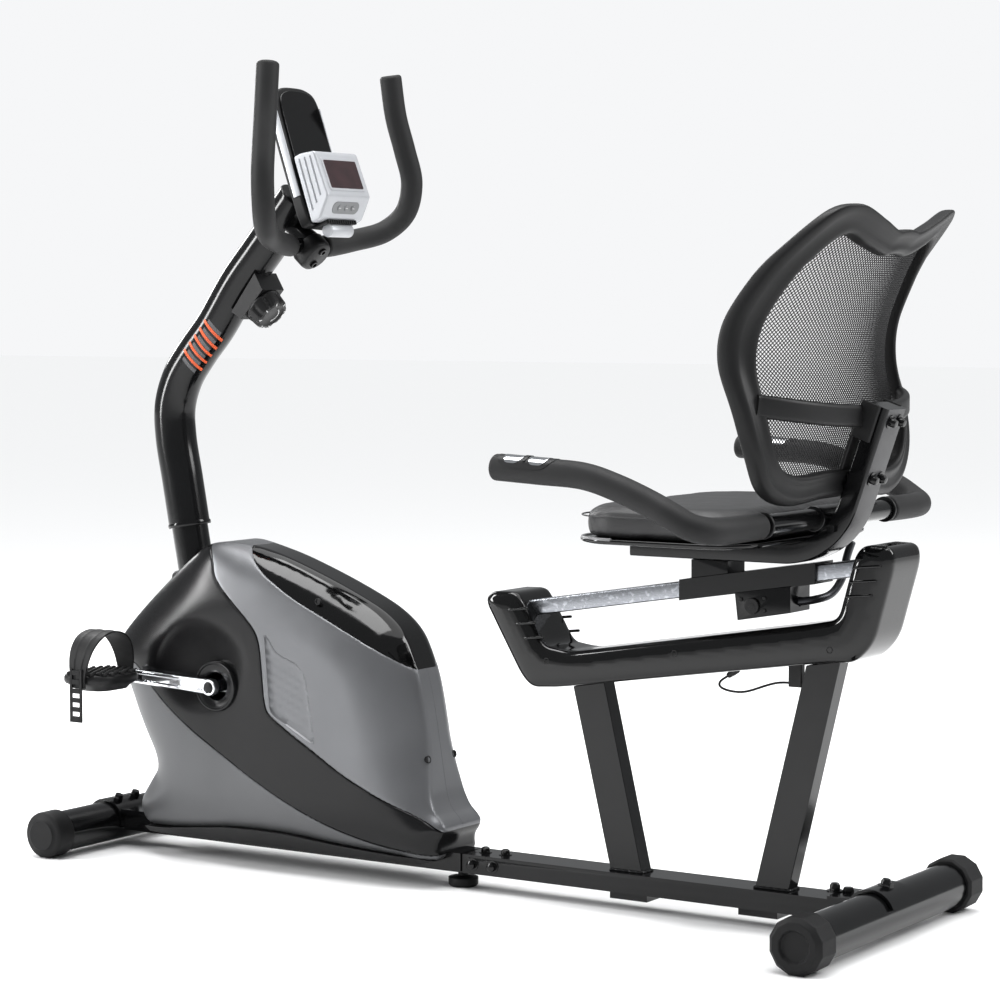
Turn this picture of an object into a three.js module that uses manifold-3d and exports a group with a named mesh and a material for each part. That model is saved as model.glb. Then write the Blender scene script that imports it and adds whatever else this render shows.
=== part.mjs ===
// Recumbent exercise bike, millimetres, +Z up. The rider sits towards +X and faces -X;
// the rider's right is +Y. Side-view sizes are measured from the axis of the rear
// stabiliser (x = 0), and the whole group is then moved so that x = 0 is the middle of
// the machine's length.
import * as THREE from 'three';
import { mergeVertices } from 'three/addons/utils/BufferGeometryUtils.js';
import Module from 'manifold-3d';

const wasm = await Module();
wasm.setup();

// ---------------------------------------------------------------- driving dimensions
const GAP = 0.3;                 // clearance between neighbouring solids
const FACET_GAP = 1.2;           // clearance round a bar where the two facet patterns differ
const MIDDLE_X = -595.85;        // middle of the overall length, from the rear axis
const WALL = 2.5;                // wall of the bent tubes
const RAIL = { half: 25, bottom: 22.5, top: 47.5, wall: 2 };
const REAR_TUBE = { z: 34, r: 28.5, half: 185, capR: 34 / Math.cos(Math.PI / 12), face: 230 };
const FRONT_TUBE = { x: -1193.7, z: 32, r: 28, half: 131, rollerR: 32, face: 166 };
const SLOPE = 0.16;              // rise of the seat rail per unit of length
const SEAT_RAIL = { x0: -508, x1: -6, refX: -271, refZ: 410, half: 20, thick: 10 };
const CARRIAGE = { x0: -267, x1: -80, half: 24.5, thick: 13 };
const CRANK = { x: -955, z: 247, arm: 140, lift: 7, innerY: 83, outerY: 95 };
const PEDAL = { inner: 104, outer: 198, half: 42, thick: 12, strap: 68, armHalf: 8 };
const FLYWHEEL = { x: -790, z: 212, r: 112, y0: 8, y1: 30 };
const EAR = { y0: -52, y1: 40, thick: 4 };  // the two plates that carry the flywheel's axle
const PULLEY = { r: 100, small: 24, y0: -43, y1: -31 };
const SHROUD = { half: 78, ridge: 20, noseRidge: 42, round: 60, wall: 3, crankHole: 18 };
const LEG = { half: 23, wide: 12.5, wall: 2 };
const MAST = { at: [-930, 838], dir: [0.667, 0.745], r: 28.5 };
const POST = { r: 25, foot: [-984, 48], top: [-1067, 485] };
const COLLAR_Z = 388;
const BAR = { x: -855, z: 842, r: 11, foam: 15 };
const CONSOLE = { x: -812, z: 866, lean: 18.6, half: 50, height: 200, thick: 20 };
const BACK_POST = {
  half: 25, thick: 25, wall: 2, z: 450, x0: -337, bendX: -125, bendR: 105, lean: 19.2, top: 645,
};
const SEAT = { x0: -335, x1: -97, half: 185, z0: 484, z1: 519 };
const SEAT_BAR = { r: 12.5, foam: 15.8, x: -78, z: 507, foamEnd: 165 };
const BACK = { thick: 24, wrapHalf: 220, wrap: 80, lowWrap: 25, topWrap: 56 };

// ---------------------------------------------------------------- finishes
const finish = (color, roughness, metalness) => ({ color, roughness, metalness });
const BLACK_STEEL = finish(0x15161a, 0.32, 0.5);
const STEEL = finish(0x8d9096, 0.35, 0.9);
const CHROME = finish(0xd9dbde, 0.12, 1.0);
const RAIL_METAL = finish(0xb9bcc0, 0.38, 0.9);
const BLACK_PLASTIC = finish(0x232427, 0.5, 0.0);
const GLOSS_BLACK = finish(0x0c0c0e, 0.14, 0.1);
const BAND_BLACK = finish(0x3b3b3d, 0.45, 0.1);
const SILVER = finish(0xb4b7ba, 0.36, 0.6);
const FOOT_GREY = finish(0x8b8e90, 0.42, 0.5);
const RUBBER = finish(0x17171a, 0.8, 0.0);
const FOAM = finish(0x2e2e2f, 0.9, 0.0);
const VINYL = finish(0x3d3e40, 0.6, 0.0);
const MESH_CLOTH = finish(0x2a2a2c, 0.8, 0.0);
const LENS = finish(0x6a5a60, 0.15, 0.0);
const CONSOLE_SILVER = finish(0xd4d6d8, 0.4, 0.2);

// ---------------------------------------------------------------- shape helpers
const vec = (p) => new THREE.Vector3(p[0], p[1], p[2]);

// A closed three.js geometry as a solid: vertices merged, slivers dropped, faces outwards.
function toSolid(geometry) {
  const bare = geometry.clone();
  bare.deleteAttribute('normal');
  bare.deleteAttribute('uv');
  const merged = mergeVertices(bare, 1e-3);
  const points = merged.attributes.position.array;
  const index = merged.index.array;
  const triangles = [];
  let volume = 0;
  const a = new THREE.Vector3();
  const b = new THREE.Vector3();
  const c = new THREE.Vector3();
  for (let i = 0; i < index.length; i += 3) {
    const [p, q, r] = [index[i], index[i + 1], index[i + 2]];
    if (p === q || q === r || r === p) continue;
    triangles.push([p, q, r]);
    a.fromArray(points, 3 * p);
    b.fromArray(points, 3 * q);
    c.fromArray(points, 3 * r);
    volume += a.dot(b.cross(c));
  }
  const order = volume < 0 ? (t) => [t[0], t[2], t[1]] : (t) => t;
  return new wasm.Manifold(new wasm.Mesh({
    numProp: 3,
    vertProperties: new Float32Array(points),
    triVerts: new Uint32Array(triangles.flatMap(order)),
  }));
}

// A solid back as a three.js geometry with flat normals.
function toGeometry(solid) {
  const mesh = solid.getMesh();
  const geometry = new THREE.BufferGeometry();
  geometry.setAttribute('position', new THREE.BufferAttribute(new Float32Array(mesh.vertProperties), 3));
  geometry.setIndex(new THREE.BufferAttribute(new Uint32Array(mesh.triVerts), 1));
  geometry.computeVertexNormals();
  return geometry;
}

// The same solid on the other side of the machine's middle plane.
function mirrored(solid) {
  return toSolid(toGeometry(solid).scale(1, -1, 1));
}

const outline = (points) => new THREE.Shape(points.map((p) => new THREE.Vector2(p[0], p[1])));

// A side-view outline (x, z) carried across the machine from y0 to y1.
function acrossY(shape, y0, y1) {
  const flat = shape instanceof THREE.Shape ? shape : outline(shape);
  const geometry = new THREE.ExtrudeGeometry(flat, { depth: y1 - y0, bevelEnabled: false, curveSegments: 6 });
  return toSolid(geometry.rotateX(Math.PI / 2).translate(0, y1, 0));
}

// A front-view outline (y, z) carried along x.
function alongX(shape, x0, x1) {
  const flat = shape instanceof THREE.Shape ? shape : outline(shape);
  const geometry = new THREE.ExtrudeGeometry(flat, { depth: x1 - x0, bevelEnabled: false, curveSegments: 6 });
  const turn = new THREE.Matrix4().makeBasis(vec([0, 1, 0]), vec([0, 0, 1]), vec([1, 0, 0]));
  return toSolid(geometry.applyMatrix4(turn).translate(x0, 0, 0));
}

// A plan outline (x, y) carried up from z0 to z1, with an optional rounded edge.
function upZ(shape, z0, z1, edge = 0) {
  const flat = shape instanceof THREE.Shape ? shape : outline(shape);
  const geometry = new THREE.ExtrudeGeometry(flat, {
    depth: z1 - z0 - 2 * edge, curveSegments: 4, steps: 1,
    bevelEnabled: edge > 0, bevelThickness: edge, bevelSize: edge, bevelOffset: -edge, bevelSegments: 2,
  });
  return toSolid(geometry.translate(0, 0, z0 + edge));
}

function box(x0, x1, y0, y1, z0, z1) {
  const geometry = new THREE.BoxGeometry(x1 - x0, y1 - y0, z1 - z0);
  return toSolid(geometry.translate((x0 + x1) / 2, (y0 + y1) / 2, (z0 + z1) / 2));
}

// A rectangle with round corners, centred on (cx, cy).
function roundRect(cx, cy, halfX, halfY, r) {
  const s = new THREE.Shape();
  s.moveTo(cx - halfX + r, cy - halfY);
  s.lineTo(cx + halfX - r, cy - halfY);
  s.absarc(cx + halfX - r, cy - halfY + r, r, -Math.PI / 2, 0);
  s.lineTo(cx + halfX, cy + halfY - r);
  s.absarc(cx + halfX - r, cy + halfY - r, r, 0, Math.PI / 2);
  s.lineTo(cx - halfX + r, cy + halfY);
  s.absarc(cx - halfX + r, cy + halfY - r, r, Math.PI / 2, Math.PI);
  s.lineTo(cx - halfX, cy - halfY + r);
  s.absarc(cx - halfX + r, cy - halfY + r, r, Math.PI, 1.5 * Math.PI);
  return s;
}

// A profile of [radius, height] pairs turned about an axis that starts at a point.
function turned(profile, at, axis, sides = 16, start = 0) {
  const geometry = new THREE.LatheGeometry(profile.map((p) => new THREE.Vector2(p[0], p[1])), sides, start);
  const turn = new THREE.Quaternion().setFromUnitVectors(vec([0, 1, 0]), vec(axis).normalize());
  return toSolid(geometry.applyQuaternion(turn).translate(at[0], at[1], at[2]));
}

// A plain round bar between two points.
function rod(from, to, r, sides = 16) {
  const axis = vec(to).sub(vec(from));
  const length = axis.length();
  return turned([[0, 0], [r, 0], [r, length], [0, length]], from, axis.toArray(), sides);
}

// A round bar along a smooth curve through the points.
function bent(points, r, steps, sides = 10) {
  const circle = new THREE.Shape();
  circle.absarc(0, 0, r, 0, 2 * Math.PI);
  const path = new THREE.CatmullRomCurve3(points.map(vec), false, 'centripetal');
  return toSolid(new THREE.ExtrudeGeometry(circle, { extrudePath: path, steps, curveSegments: sides / 2 }));
}

// A bent tube: the bar along the points, less its bore and the plug that opens the bore at each end.
function bentTube(points, r, steps, sides) {
  const open = [[points[0], points[1]], [points.at(-1), points.at(-2)]].map(([end, next]) => {
    const inward = vec(next).sub(vec(end)).setLength(3);
    const from = vec(end).addScaledVector(inward, -0.5);
    return rod(from.toArray(), vec(end).add(inward).toArray(), r - 0.8 * WALL, 12);
  });
  return cut(bent(points, r, steps, sides), bent(points, r - WALL, steps, sides), ...open);
}

// The left-hand neighbour of a polyline at a given distance, corner by corner.
function shifted(points, distance, closed) {
  const n = points.length;
  return points.map((p, i) => {
    const before = points[closed ? (i + n - 1) % n : Math.max(i - 1, 0)];
    const after = points[closed ? (i + 1) % n : Math.min(i + 1, n - 1)];
    const d1 = new THREE.Vector2(p[0] - before[0], p[1] - before[1]).normalize();
    const d2 = new THREE.Vector2(after[0] - p[0], after[1] - p[1]).normalize();
    const first = d1.lengthSq() > 0 ? d1 : d2;
    const second = d2.lengthSq() > 0 ? d2 : d1;
    const mid = new THREE.Vector2(-first.y - second.y, first.x + second.x).normalize();
    const stretch = Math.max(0.5, mid.x * -first.y + mid.y * first.x);
    return [p[0] + mid.x * distance / stretch, p[1] + mid.y * distance / stretch];
  });
}

// A thin side-view ribbon along a polyline, used as the gap between two mouldings.
const seamCut = (points) => acrossY(
  [...shifted(points, -GAP / 2, false), ...shifted(points, GAP / 2, false).reverse()], -200, 200);

const join = (...solids) => solids.reduce((sum, next) => sum.add(next));
const cut = (solid, ...tools) => tools.reduce((rest, tool) => rest.subtract(tool), solid);

// Height of the seat rail's middle line at x.
const railZ = (x) => SEAT_RAIL.refZ + SLOPE * (x - SEAT_RAIL.refX);

// A side-view strip that follows the seat rail's slope between two x, from low to high.
const slopedStrip = (x0, x1, low, high) => [
  [x0, railZ(x0) + low], [x1, railZ(x1) + low], [x1, railZ(x1) + high], [x0, railZ(x0) + high]];

// A point near the mast, from its distance along and off the mast's axis (off = rider's side).
const onMast = (along, off, y = 0) => [
  MAST.at[0] + along * MAST.dir[0] + off * MAST.dir[1], y,
  MAST.at[1] + along * MAST.dir[1] - off * MAST.dir[0]];

// ---------------------------------------------------------------- assembly
const bike = new THREE.Group();

function part(name, solid, look) {
  const mesh = new THREE.Mesh(toGeometry(solid), new THREE.MeshStandardMaterial(look));
  mesh.name = name;
  bike.add(mesh);
}

// Adds a left piece (negative y) and its mirror image.
function pair(name, solid, look) {
  part(`${name}_left`, solid, look);
  part(`${name}_right`, mirrored(solid), look);
}

// ---------------------------------------------------------------- base frame
function railTube(x0, x1) {
  const inner = RAIL.half - RAIL.wall;
  return cut(
    box(x0, x1, -RAIL.half, RAIL.half, RAIL.bottom, RAIL.top),
    box(x0 - 1, x1 + 1, -inner, inner, RAIL.bottom + RAIL.wall, RAIL.top - RAIL.wall));
}

// A welded half sleeve that sits on a stabiliser tube, between two angles.
function saddle(x, z, r, from, to, half) {
  const shape = new THREE.Shape();
  shape.absarc(x, z, r + FACET_GAP + 3.5, from, to, false);
  shape.absarc(x, z, r + FACET_GAP, to, from, true);
  return acrossY(shape, -half, half);
}

function boltHead(at, axis, r, height) {
  return turned([[0, -3], [r, -3], [r, height * 0.4], [r * 0.8, height], [0, height]], at, axis, 6);
}

function baseFrame() {
  const tubeBack = FRONT_TUBE.x + FRONT_TUBE.r;
  const frontSaddle = join(
    saddle(FRONT_TUBE.x, FRONT_TUBE.z, FRONT_TUBE.r, -0.1, 2.9, 32),
    box(tubeBack + 2, -1118, -32, 32, RAIL.top - 1, RAIL.top + 5),
    boltHead([FRONT_TUBE.x + 13, -18, FRONT_TUBE.z + 32], [0.35, 0, 0.94], 7, 7),
    boltHead([FRONT_TUBE.x + 13, 18, FRONT_TUBE.z + 32], [0.35, 0, 0.94], 7, 7));
  const ears = [EAR.y0, EAR.y1].map((y) => acrossY([
    [FLYWHEEL.x - 45, RAIL.top - 1], [FLYWHEEL.x + 45, RAIL.top - 1],
    [FLYWHEEL.x + 14, FLYWHEEL.z + 14], [FLYWHEEL.x - 14, FLYWHEEL.z + 14]], y, y + EAR.thick));
  const earEnd = EAR.y1 + EAR.thick;
  const bridge = box(FLYWHEEL.x - 45, FLYWHEEL.x + 45, EAR.y0, earEnd, RAIL.top - 1, RAIL.top + 4);
  const axle = rod([FLYWHEEL.x, EAR.y0 - 3, FLYWHEEL.z], [FLYWHEEL.x, earEnd + 3, FLYWHEEL.z], 6, 12);
  const rail = railTube(tubeBack + 2, -592);
  part('base_rail_front', join(rail, frontSaddle, ...ears, bridge, axle), BLACK_STEEL);

  const rearFront = -REAR_TUBE.r - 2;
  const tongue = cut(
    box(-640, -560, -RAIL.half + 2.4, RAIL.half - 2.4, RAIL.bottom + 2.4, RAIL.top - 2.4),
    box(-641, -580, -19, 19, RAIL.bottom + 5, RAIL.top - 5));
  const tongueWeb = box(-589, -578, -RAIL.half + 0.5, RAIL.half - 0.5, RAIL.bottom + 0.5, RAIL.top - 0.5);
  const rearSaddle = join(
    saddle(0, REAR_TUBE.z, REAR_TUBE.r, 0.35, 3.3, 32),
    box(-58, rearFront + 4, -30, 30, RAIL.top - 1, RAIL.top + 5),
    boltHead([-44, 0, RAIL.top + 5], [0, 0, 1], 7, 7),
    boltHead([8, 0, REAR_TUBE.z + 31], [0.25, 0, 0.97], 7, 7));
  const bolts = [-569, -538].flatMap((x) => [
    boltHead([x, 0, RAIL.top], [0, 0, 1], 6, 5),
    boltHead([x - 4, -RAIL.half, 35], [0, -1, 0], 6.5, 4)]);
  const pads = [-342, -158].map((x) => box(x - 27, x + 27, -18, 18, 13, RAIL.bottom + 1));
  part('base_rail_rear', join(
    railTube(-589, rearFront), tongueWeb, tongue, rearSaddle, ...bolts, ...pads), BLACK_STEEL);

  // Adjustable foot under the rail: a disc on a short threaded stem.
  part('centre_foot', turned(
    [[0, 0], [17, 0], [20, 3], [20, 12], [7, 14], [7, RAIL.bottom - GAP], [0, RAIL.bottom - GAP]],
    [-604, 0, 0], [0, 0, 1], 16), RUBBER);

  leg('front_leg', [-404.5, 284], -348.5);
  leg('rear_leg', [-74, 333], -142);
}

// A slanted box section from the base rail up to the housing, open at both ends.
function leg(name, top, footX) {
  const bottom = RAIL.top + GAP;
  const side = (wall, past) => acrossY([
    [footX - LEG.half + wall, bottom - past], [footX + LEG.half - wall, bottom - past],
    [top[0] + LEG.half - wall, top[1] + 2 + past], [top[0] - LEG.half + wall, top[1] - 6 + past]],
  -LEG.wide + wall, LEG.wide - wall);
  part(name, cut(side(0, 0), side(LEG.wall, 1)), BLACK_STEEL);
}

function stabilizers() {
  const { x, z, r, half, rollerR, face } = FRONT_TUBE;
  const tube = rod([x, -half, z], [x, half, z], r, 20);
  const bore = rod([x, -half + 4, z], [x, half - 4, z], r - 2, 20);
  const drain = rod([x, 0, 0], [x, 0, z], 4, 8);
  const stubs = rod([x, -face + 5, z], [x, -half + 1, z], 6, 12);
  part('front_stabilizer', join(cut(tube, bore, drain), stubs, mirrored(stubs)), BLACK_STEEL);
  pair('front_roller', turned([
    [6.3, 0], [rollerR - 1, 0], [rollerR, 2], [rollerR, 28], [rollerR - 4, 33], [20, face - half - GAP],
    [0, face - half - GAP], [0, 31], [6.3, 31], [6.3, 0]],
    [x, -half - GAP, z], [0, -1, 0], 20), RUBBER);

  const rearBar = (reach, radius) => rod([0, -reach, REAR_TUBE.z], [0, reach, REAR_TUBE.z], radius, 20);
  const rearTube = cut(rearBar(REAR_TUBE.half, REAR_TUBE.r), rearBar(REAR_TUBE.half + 1, REAR_TUBE.r - 2));
  part('rear_stabilizer', rearTube, BLACK_STEEL);
  const depth = REAR_TUBE.face - REAR_TUBE.half - GAP;
  pair('rear_cap', turned([
    [0, -16], [24, -16], [25.5, -2], [25.5, 0], [REAR_TUBE.capR - 3, 0], [REAR_TUBE.capR, 4],
    [REAR_TUBE.capR, depth - 6], [REAR_TUBE.capR - 6, depth], [20, depth], [18, depth - 4], [0, depth - 4]],
    [0, -REAR_TUBE.half - GAP, REAR_TUBE.z], [0, -1, 0], 12, Math.PI / 12), RUBBER);
}

// ---------------------------------------------------------------- mast, bar and console
// A point on the lower post's axis at height z.
function postAt(z) {
  const t = (z - POST.foot[1]) / (POST.top[1] - POST.foot[1]);
  return [POST.foot[0] + t * (POST.top[0] - POST.foot[0]), 0, z];
}

// The upper mast's outer tube: it sleeves over the lower post, then bends back to the rider.
function mastSleeve(grow) {
  return bent([
    postAt(456), postAt(520), [-1085, 0, 580], [-1086, 0, 622], [-1072, 0, 662], [-1046, 0, 697],
    [-1013, 0, 734], onMast(-60, 0), onMast(0, 0), onMast(92, 0)], MAST.r + grow, 13, 12);
}

function mast() {
  const postTop = postAt(POST.top[1]);
  const postFoot = postAt(POST.foot[1] + 8);
  const solidPost = rod(postFoot, postTop, POST.r, 20);
  const bore = rod(postAt(POST.foot[1] + 14), postAt(POST.top[1] + 5), POST.r - 2, 20);
  const shell = rod([CRANK.x, -24, CRANK.z], [CRANK.x, 24, CRANK.z], 21, 16);
  const shellBore = rod([CRANK.x, -25, CRANK.z], [CRANK.x, 25, CRANK.z], 10.3, 16);
  const gusset = acrossY([[-1004, 205], [CRANK.x, 228], [CRANK.x, 266], [-1004, 300]], -6, 6);
  const foot = box(POST.foot[0] - 45, POST.foot[0] + 45, -24, 24, RAIL.top + GAP, RAIL.top + 11);
  part('lower_post', cut(join(cut(join(solidPost, gusset), bore), shell, foot), shellBore), BLACK_STEEL);

  const socket = rod(postAt(440), postAt(POST.top[1] + 4), POST.r + GAP, 20);
  const clampBase = rod(onMast(52, 20), onMast(52, 53), 17, 14);
  const seatCut = rod([BAR.x, -60, BAR.z], [BAR.x, 60, BAR.z], BAR.foam + GAP, 16);
  const screw = rod([-1102, 0, 497.5], [-1094, 0, 495.5], 4, 8);
  const mouthR = MAST.r - 0.6 * WALL;
  const mouths = [rod(onMast(89, 0), onMast(94, 0), mouthR, 12), rod(postAt(453), postAt(459), mouthR, 12)];
  const mastBar = join(mastSleeve(0), clampBase, screw);
  part('upper_mast', cut(mastBar, socket, seatCut, mastSleeve(-WALL), ...mouths), BLACK_STEEL);

  const up = vec(postTop).sub(vec(postFoot));
  part('mast_collar', turned([
    [POST.r + GAP, -8], [POST.r + 7, -8], [POST.r + 9, 4], [POST.r + 5, 9],
    [POST.r + GAP, 9], [POST.r + GAP, -8]], postAt(COLLAR_Z), up.toArray(), 20), RUBBER);
}

// Centre line of the left half of the front handlebar, from the clamp to the tip.
const barLine = [
  [BAR.x, -18, BAR.z], [BAR.x, -43, BAR.z], [-846, -90, 850], [-822, -135, 864], [-806, -160, 890],
  [-801, -168, 930], [-806, -158, 975], [-812, -146, 1020], [-815, -137, 1072]];

function handlebar() {
  const whole = [...[...barLine].reverse(), ...barLine.map((p) => [p[0], -p[1], p[2]])];
  part('handlebar', bentTube(whole, BAR.r, 28, 6), BLACK_STEEL);
  const foam = bent([[BAR.x, -34, BAR.z], ...barLine.slice(1, -1), [-815.2, -136.4, 1078]], BAR.foam, 14, 8);
  const tip = rod([-815, -137, 1070], [-815, -137, 1073], BAR.r + 1, 8);
  pair('handlebar_foam', cut(foam, bent(whole, BAR.r + 0.6, 28, 6), tip), FOAM);

  const cap = cut(
    rod(onMast(52, 53 + GAP), onMast(52, 77), 24, 18),
    rod([BAR.x, -60, BAR.z], [BAR.x, 60, BAR.z], BAR.r + FACET_GAP, 14));
  const screws = [-12, 12].map((s) => boltHead(onMast(52 + s, 77), [MAST.dir[1], 0, -MAST.dir[0]], 5.5, 2.5));
  part('clamp_cap', join(cap, ...screws), BLACK_PLASTIC);
}

// Moves a solid from the console's own frame (x = out to the rider, z = up the panel).
function atConsole(geometry) {
  const lean = new THREE.Matrix4().makeRotationY(THREE.MathUtils.degToRad(-CONSOLE.lean));
  return geometry.applyMatrix4(lean).translate(CONSOLE.x, 0, CONSOLE.z);
}
const leanSolid = (solid) => toSolid(atConsole(toGeometry(solid)));

function consoleUnit() {
  const { half, height, thick } = CONSOLE;
  const panel = alongX(roundRect(0, height / 2, half, height / 2, 12), -thick, 0);
  const ledge = box(-8, 14, -32, 32, 0, 4);
  const neck = box(-34, -thick + 1, -18, 18, 18, 70);
  const mastEnd = rod(onMast(91, 0), onMast(94, 0), MAST.r + GAP, 12);
  part('console_holder', cut(leanSolid(join(panel, ledge, neck)), mastSleeve(GAP), mastEnd), BLACK_PLASTIC);

  const profile = [[GAP, 4.3], [14.3, 4.3], [38.7, 30], [35.4, 92.6], [12, 98], [GAP, 98]];
  const body = acrossY(profile, -49, 49);
  const lensPocket = acrossY([[33, 38], [50, 38], [50, 79], [31, 79]], -36.5, 36.5);
  const inside = acrossY([[3, 8], [12, 8], [33, 32], [31, 36], [28, 88], [3, 92]], -45, 45);
  const cableHole = box(-1, 4, -6, 6, 20, 32);
  const keyDir = [0.725, 0, -0.689];
  const keyCentre = (k) => [27.2, k * 15, 17.8];
  const keyHole = [[0, -30], [4.3, -30], [4.3, 9], [0, 9]];
  const keyBores = [-1, 0, 1].map((k) => turned(keyHole, keyCentre(k), keyDir, 10));
  part('console_housing', leanSolid(cut(body, lensPocket, inside, cableHole, ...keyBores)), CONSOLE_SILVER);
  const lens = acrossY([[33.4, 38.3], [38.0, 38.3], [36.0, 78.7], [31.4, 78.7]], -36.2, 36.2);
  part('console_lens', leanSolid(lens), LENS);
  ['button_mode', 'button_set', 'button_reset'].forEach((name, i) => {
    const key = turned([[0, -6], [4, -6], [4, 1.6], [3.4, 2.2], [0, 2.2]], keyCentre(i - 1), keyDir, 10);
    part(name, leanSolid(key), BLACK_PLASTIC);
  });
}

function tensionControl() {
  const axis = [MAST.dir[1], 0, -MAST.dir[0]];
  const wedge = [onMast(-22, 24), onMast(-30, 49), onMast(-84, 49), onMast(-88, 29)];
  const body = acrossY(wedge.map((p) => [p[0], p[2]]), -24, 24);
  const stemHole = rod(onMast(-57, 30), onMast(-57, 60), 5, 10);
  part('knob_housing', cut(body, mastSleeve(GAP), stemHole), BLACK_PLASTIC);
  const dial = [[0, -10], [4.6, -10], [4.6, GAP], [26, GAP], [27, 3], [25, 20], [22, 23], [0, 23]];
  const knob = turned(dial, onMast(-57, 49), axis, 20);
  const flutes = [...Array(8).keys()].map((k) => {
    const turn = (k / 8) * 2 * Math.PI;
    const across = Math.cos(turn) * 29;
    const along = Math.sin(turn) * 29;
    return rod(onMast(-57 + along, 49 + 6, across), onMast(-57 + along, 49 + 26, across), 4.5, 6);
  });
  part('tension_knob', cut(knob, ...flutes), BLACK_PLASTIC);
}

// ---------------------------------------------------------------- drive
function drive() {
  const at = (y) => [CRANK.x, y, CRANK.z];
  const axle = turned([
    [0, 0], [8, 0], [8, 22], [10, 22], [10, 142], [8, 142], [8, 164], [0, 164]], at(-82), [0, 1, 0], 16);
  const tread = turned([
    [12, -39], [88, -39], [88, PULLEY.y0], [PULLEY.r, PULLEY.y0], [PULLEY.r - 2, -42], [PULLEY.r - 2, -32],
    [PULLEY.r, PULLEY.y1], [88, PULLEY.y1], [88, -35], [12, -35], [12, -39]], at(0), [0, 1, 0], 20);
  const hub = rod(at(PULLEY.y0), at(-26), 14, 16);
  part('crank_axle', join(axle, tread, hub), STEEL);

  // Crank arms: the left one points forward, the right one back.
  const armOut = (s) => {
    const end = [CRANK.x - s * CRANK.arm, CRANK.z + s * CRANK.lift];
    const along = new THREE.Vector2(end[0] - CRANK.x, end[1] - CRANK.z).normalize();
    const side = [-along.y, along.x];
    const corner = (p, w) => [p[0] + side[0] * w, p[1] + side[1] * w];
    const blade = acrossY([
      corner([CRANK.x, CRANK.z], PEDAL.armHalf), corner(end, PEDAL.armHalf),
      corner(end, -PEDAL.armHalf), corner([CRANK.x, CRANK.z], -PEDAL.armHalf)],
    -CRANK.outerY, -CRANK.innerY);
    const hubBoss = rod([CRANK.x, -CRANK.innerY + 5, CRANK.z], [CRANK.x, -CRANK.outerY, CRANK.z], 13, 18);
    const eye = rod([end[0], -CRANK.innerY, end[1]], [end[0], -CRANK.outerY, end[1]], 10, 16);
    const square = rod([CRANK.x, -60, CRANK.z], [CRANK.x, -CRANK.outerY + 4, CRANK.z], 8 + GAP, 16);
    const spindle = rod([end[0], -CRANK.outerY + 1, end[1]], [end[0], -PEDAL.outer + 6, end[1]], 5, 12);
    return join(cut(join(blade, hubBoss, eye), square), spindle);
  };
  part('crank_arm_left', armOut(1), CHROME);
  part('crank_arm_right', mirrored(armOut(-1)), CHROME);

  // Pedals: a slotted platform on the spindle, and a strap arched over it.
  const pedal = (s) => {
    const cx = CRANK.x - s * CRANK.arm;
    const cz = CRANK.z + s * CRANK.lift;
    const mid = -(PEDAL.inner + PEDAL.outer) / 2;
    const shape = roundRect(cx, mid, PEDAL.half, (PEDAL.outer - PEDAL.inner) / 2, 10);
    const bore = rod([cx, -PEDAL.inner + 1, cz], [cx, -PEDAL.outer + 5.4, cz], 5 + GAP, 12);
    const windows = [-1, 1].map((k) => box(
      cx + k * 22 - 8, cx + k * 22 + 8, mid - 26, mid + 26, cz - 40, cz + 40));
    const ribs = [-1, 0, 1].map((k) => box(
      cx + k * 30 - 3, cx + k * 30 + 3, mid - 36, mid + 36, cz + 10, cz + 15));
    return cut(join(upZ(shape, cz - PEDAL.thick, cz + PEDAL.thick, 3), ...ribs), bore, ...windows);
  };
  part('pedal_left', pedal(1), BLACK_PLASTIC);
  part('pedal_right', mirrored(pedal(-1)), BLACK_PLASTIC);
  const strap = (s) => {
    const cx = CRANK.x - s * CRANK.arm + 2;
    const cz = CRANK.z + s * CRANK.lift;
    const mid = -(PEDAL.inner + PEDAL.outer) / 2;
    const arch = (grow) => {
      const outer = (PEDAL.outer - PEDAL.inner) / 2 + 1.2 + grow;
      const top = cz + PEDAL.strap + grow;
      const shape = new THREE.Shape();
      shape.moveTo(mid - outer, cz - 14);
      shape.lineTo(mid - outer, cz + 38);
      shape.bezierCurveTo(mid - outer, top, mid - outer * 0.5, top, mid, top);
      shape.bezierCurveTo(mid + outer * 0.5, top, mid + outer - 6, top, mid + outer - 6, cz + 38);
      shape.lineTo(mid + outer - 6, cz + 22);
      shape.lineTo(mid + outer, cz + 14);
      shape.lineTo(mid + outer, cz - 14);
      return shape;
    };
    const inner = arch(0);
    const band = cut(alongX(arch(2.2), cx - 17, cx + 17), alongX(inner, cx - 18, cx + 18));
    const spindleSlot = box(cx - 18, cx + 18, -PEDAL.inner + 0.5, -90, cz - 30, cz + 12.5);
    return cut(band, spindleSlot);
  };
  part('pedal_strap_left', strap(1), RUBBER);
  part('pedal_strap_right', mirrored(strap(-1)), RUBBER);

  const fly = (y) => [FLYWHEEL.x, y, FLYWHEEL.z];
  const { r, y0, y1 } = FLYWHEEL;
  const wheel = turned([
    [6.5, PULLEY.y0], [PULLEY.small + 1, PULLEY.y0], [PULLEY.small - 1, -42], [PULLEY.small - 1, -32],
    [PULLEY.small + 1, PULLEY.y1], [14, PULLEY.y1], [14, 15], [r - 26, 15], [r - 26, y0],
    [r, y0], [r, y1], [r - 26, y1], [r - 26, 23], [14, 23], [14, y1], [6.5, y1], [6.5, PULLEY.y0]],
  fly(0), [0, 1, 0], 18);
  part('flywheel', wheel, STEEL);

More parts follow.
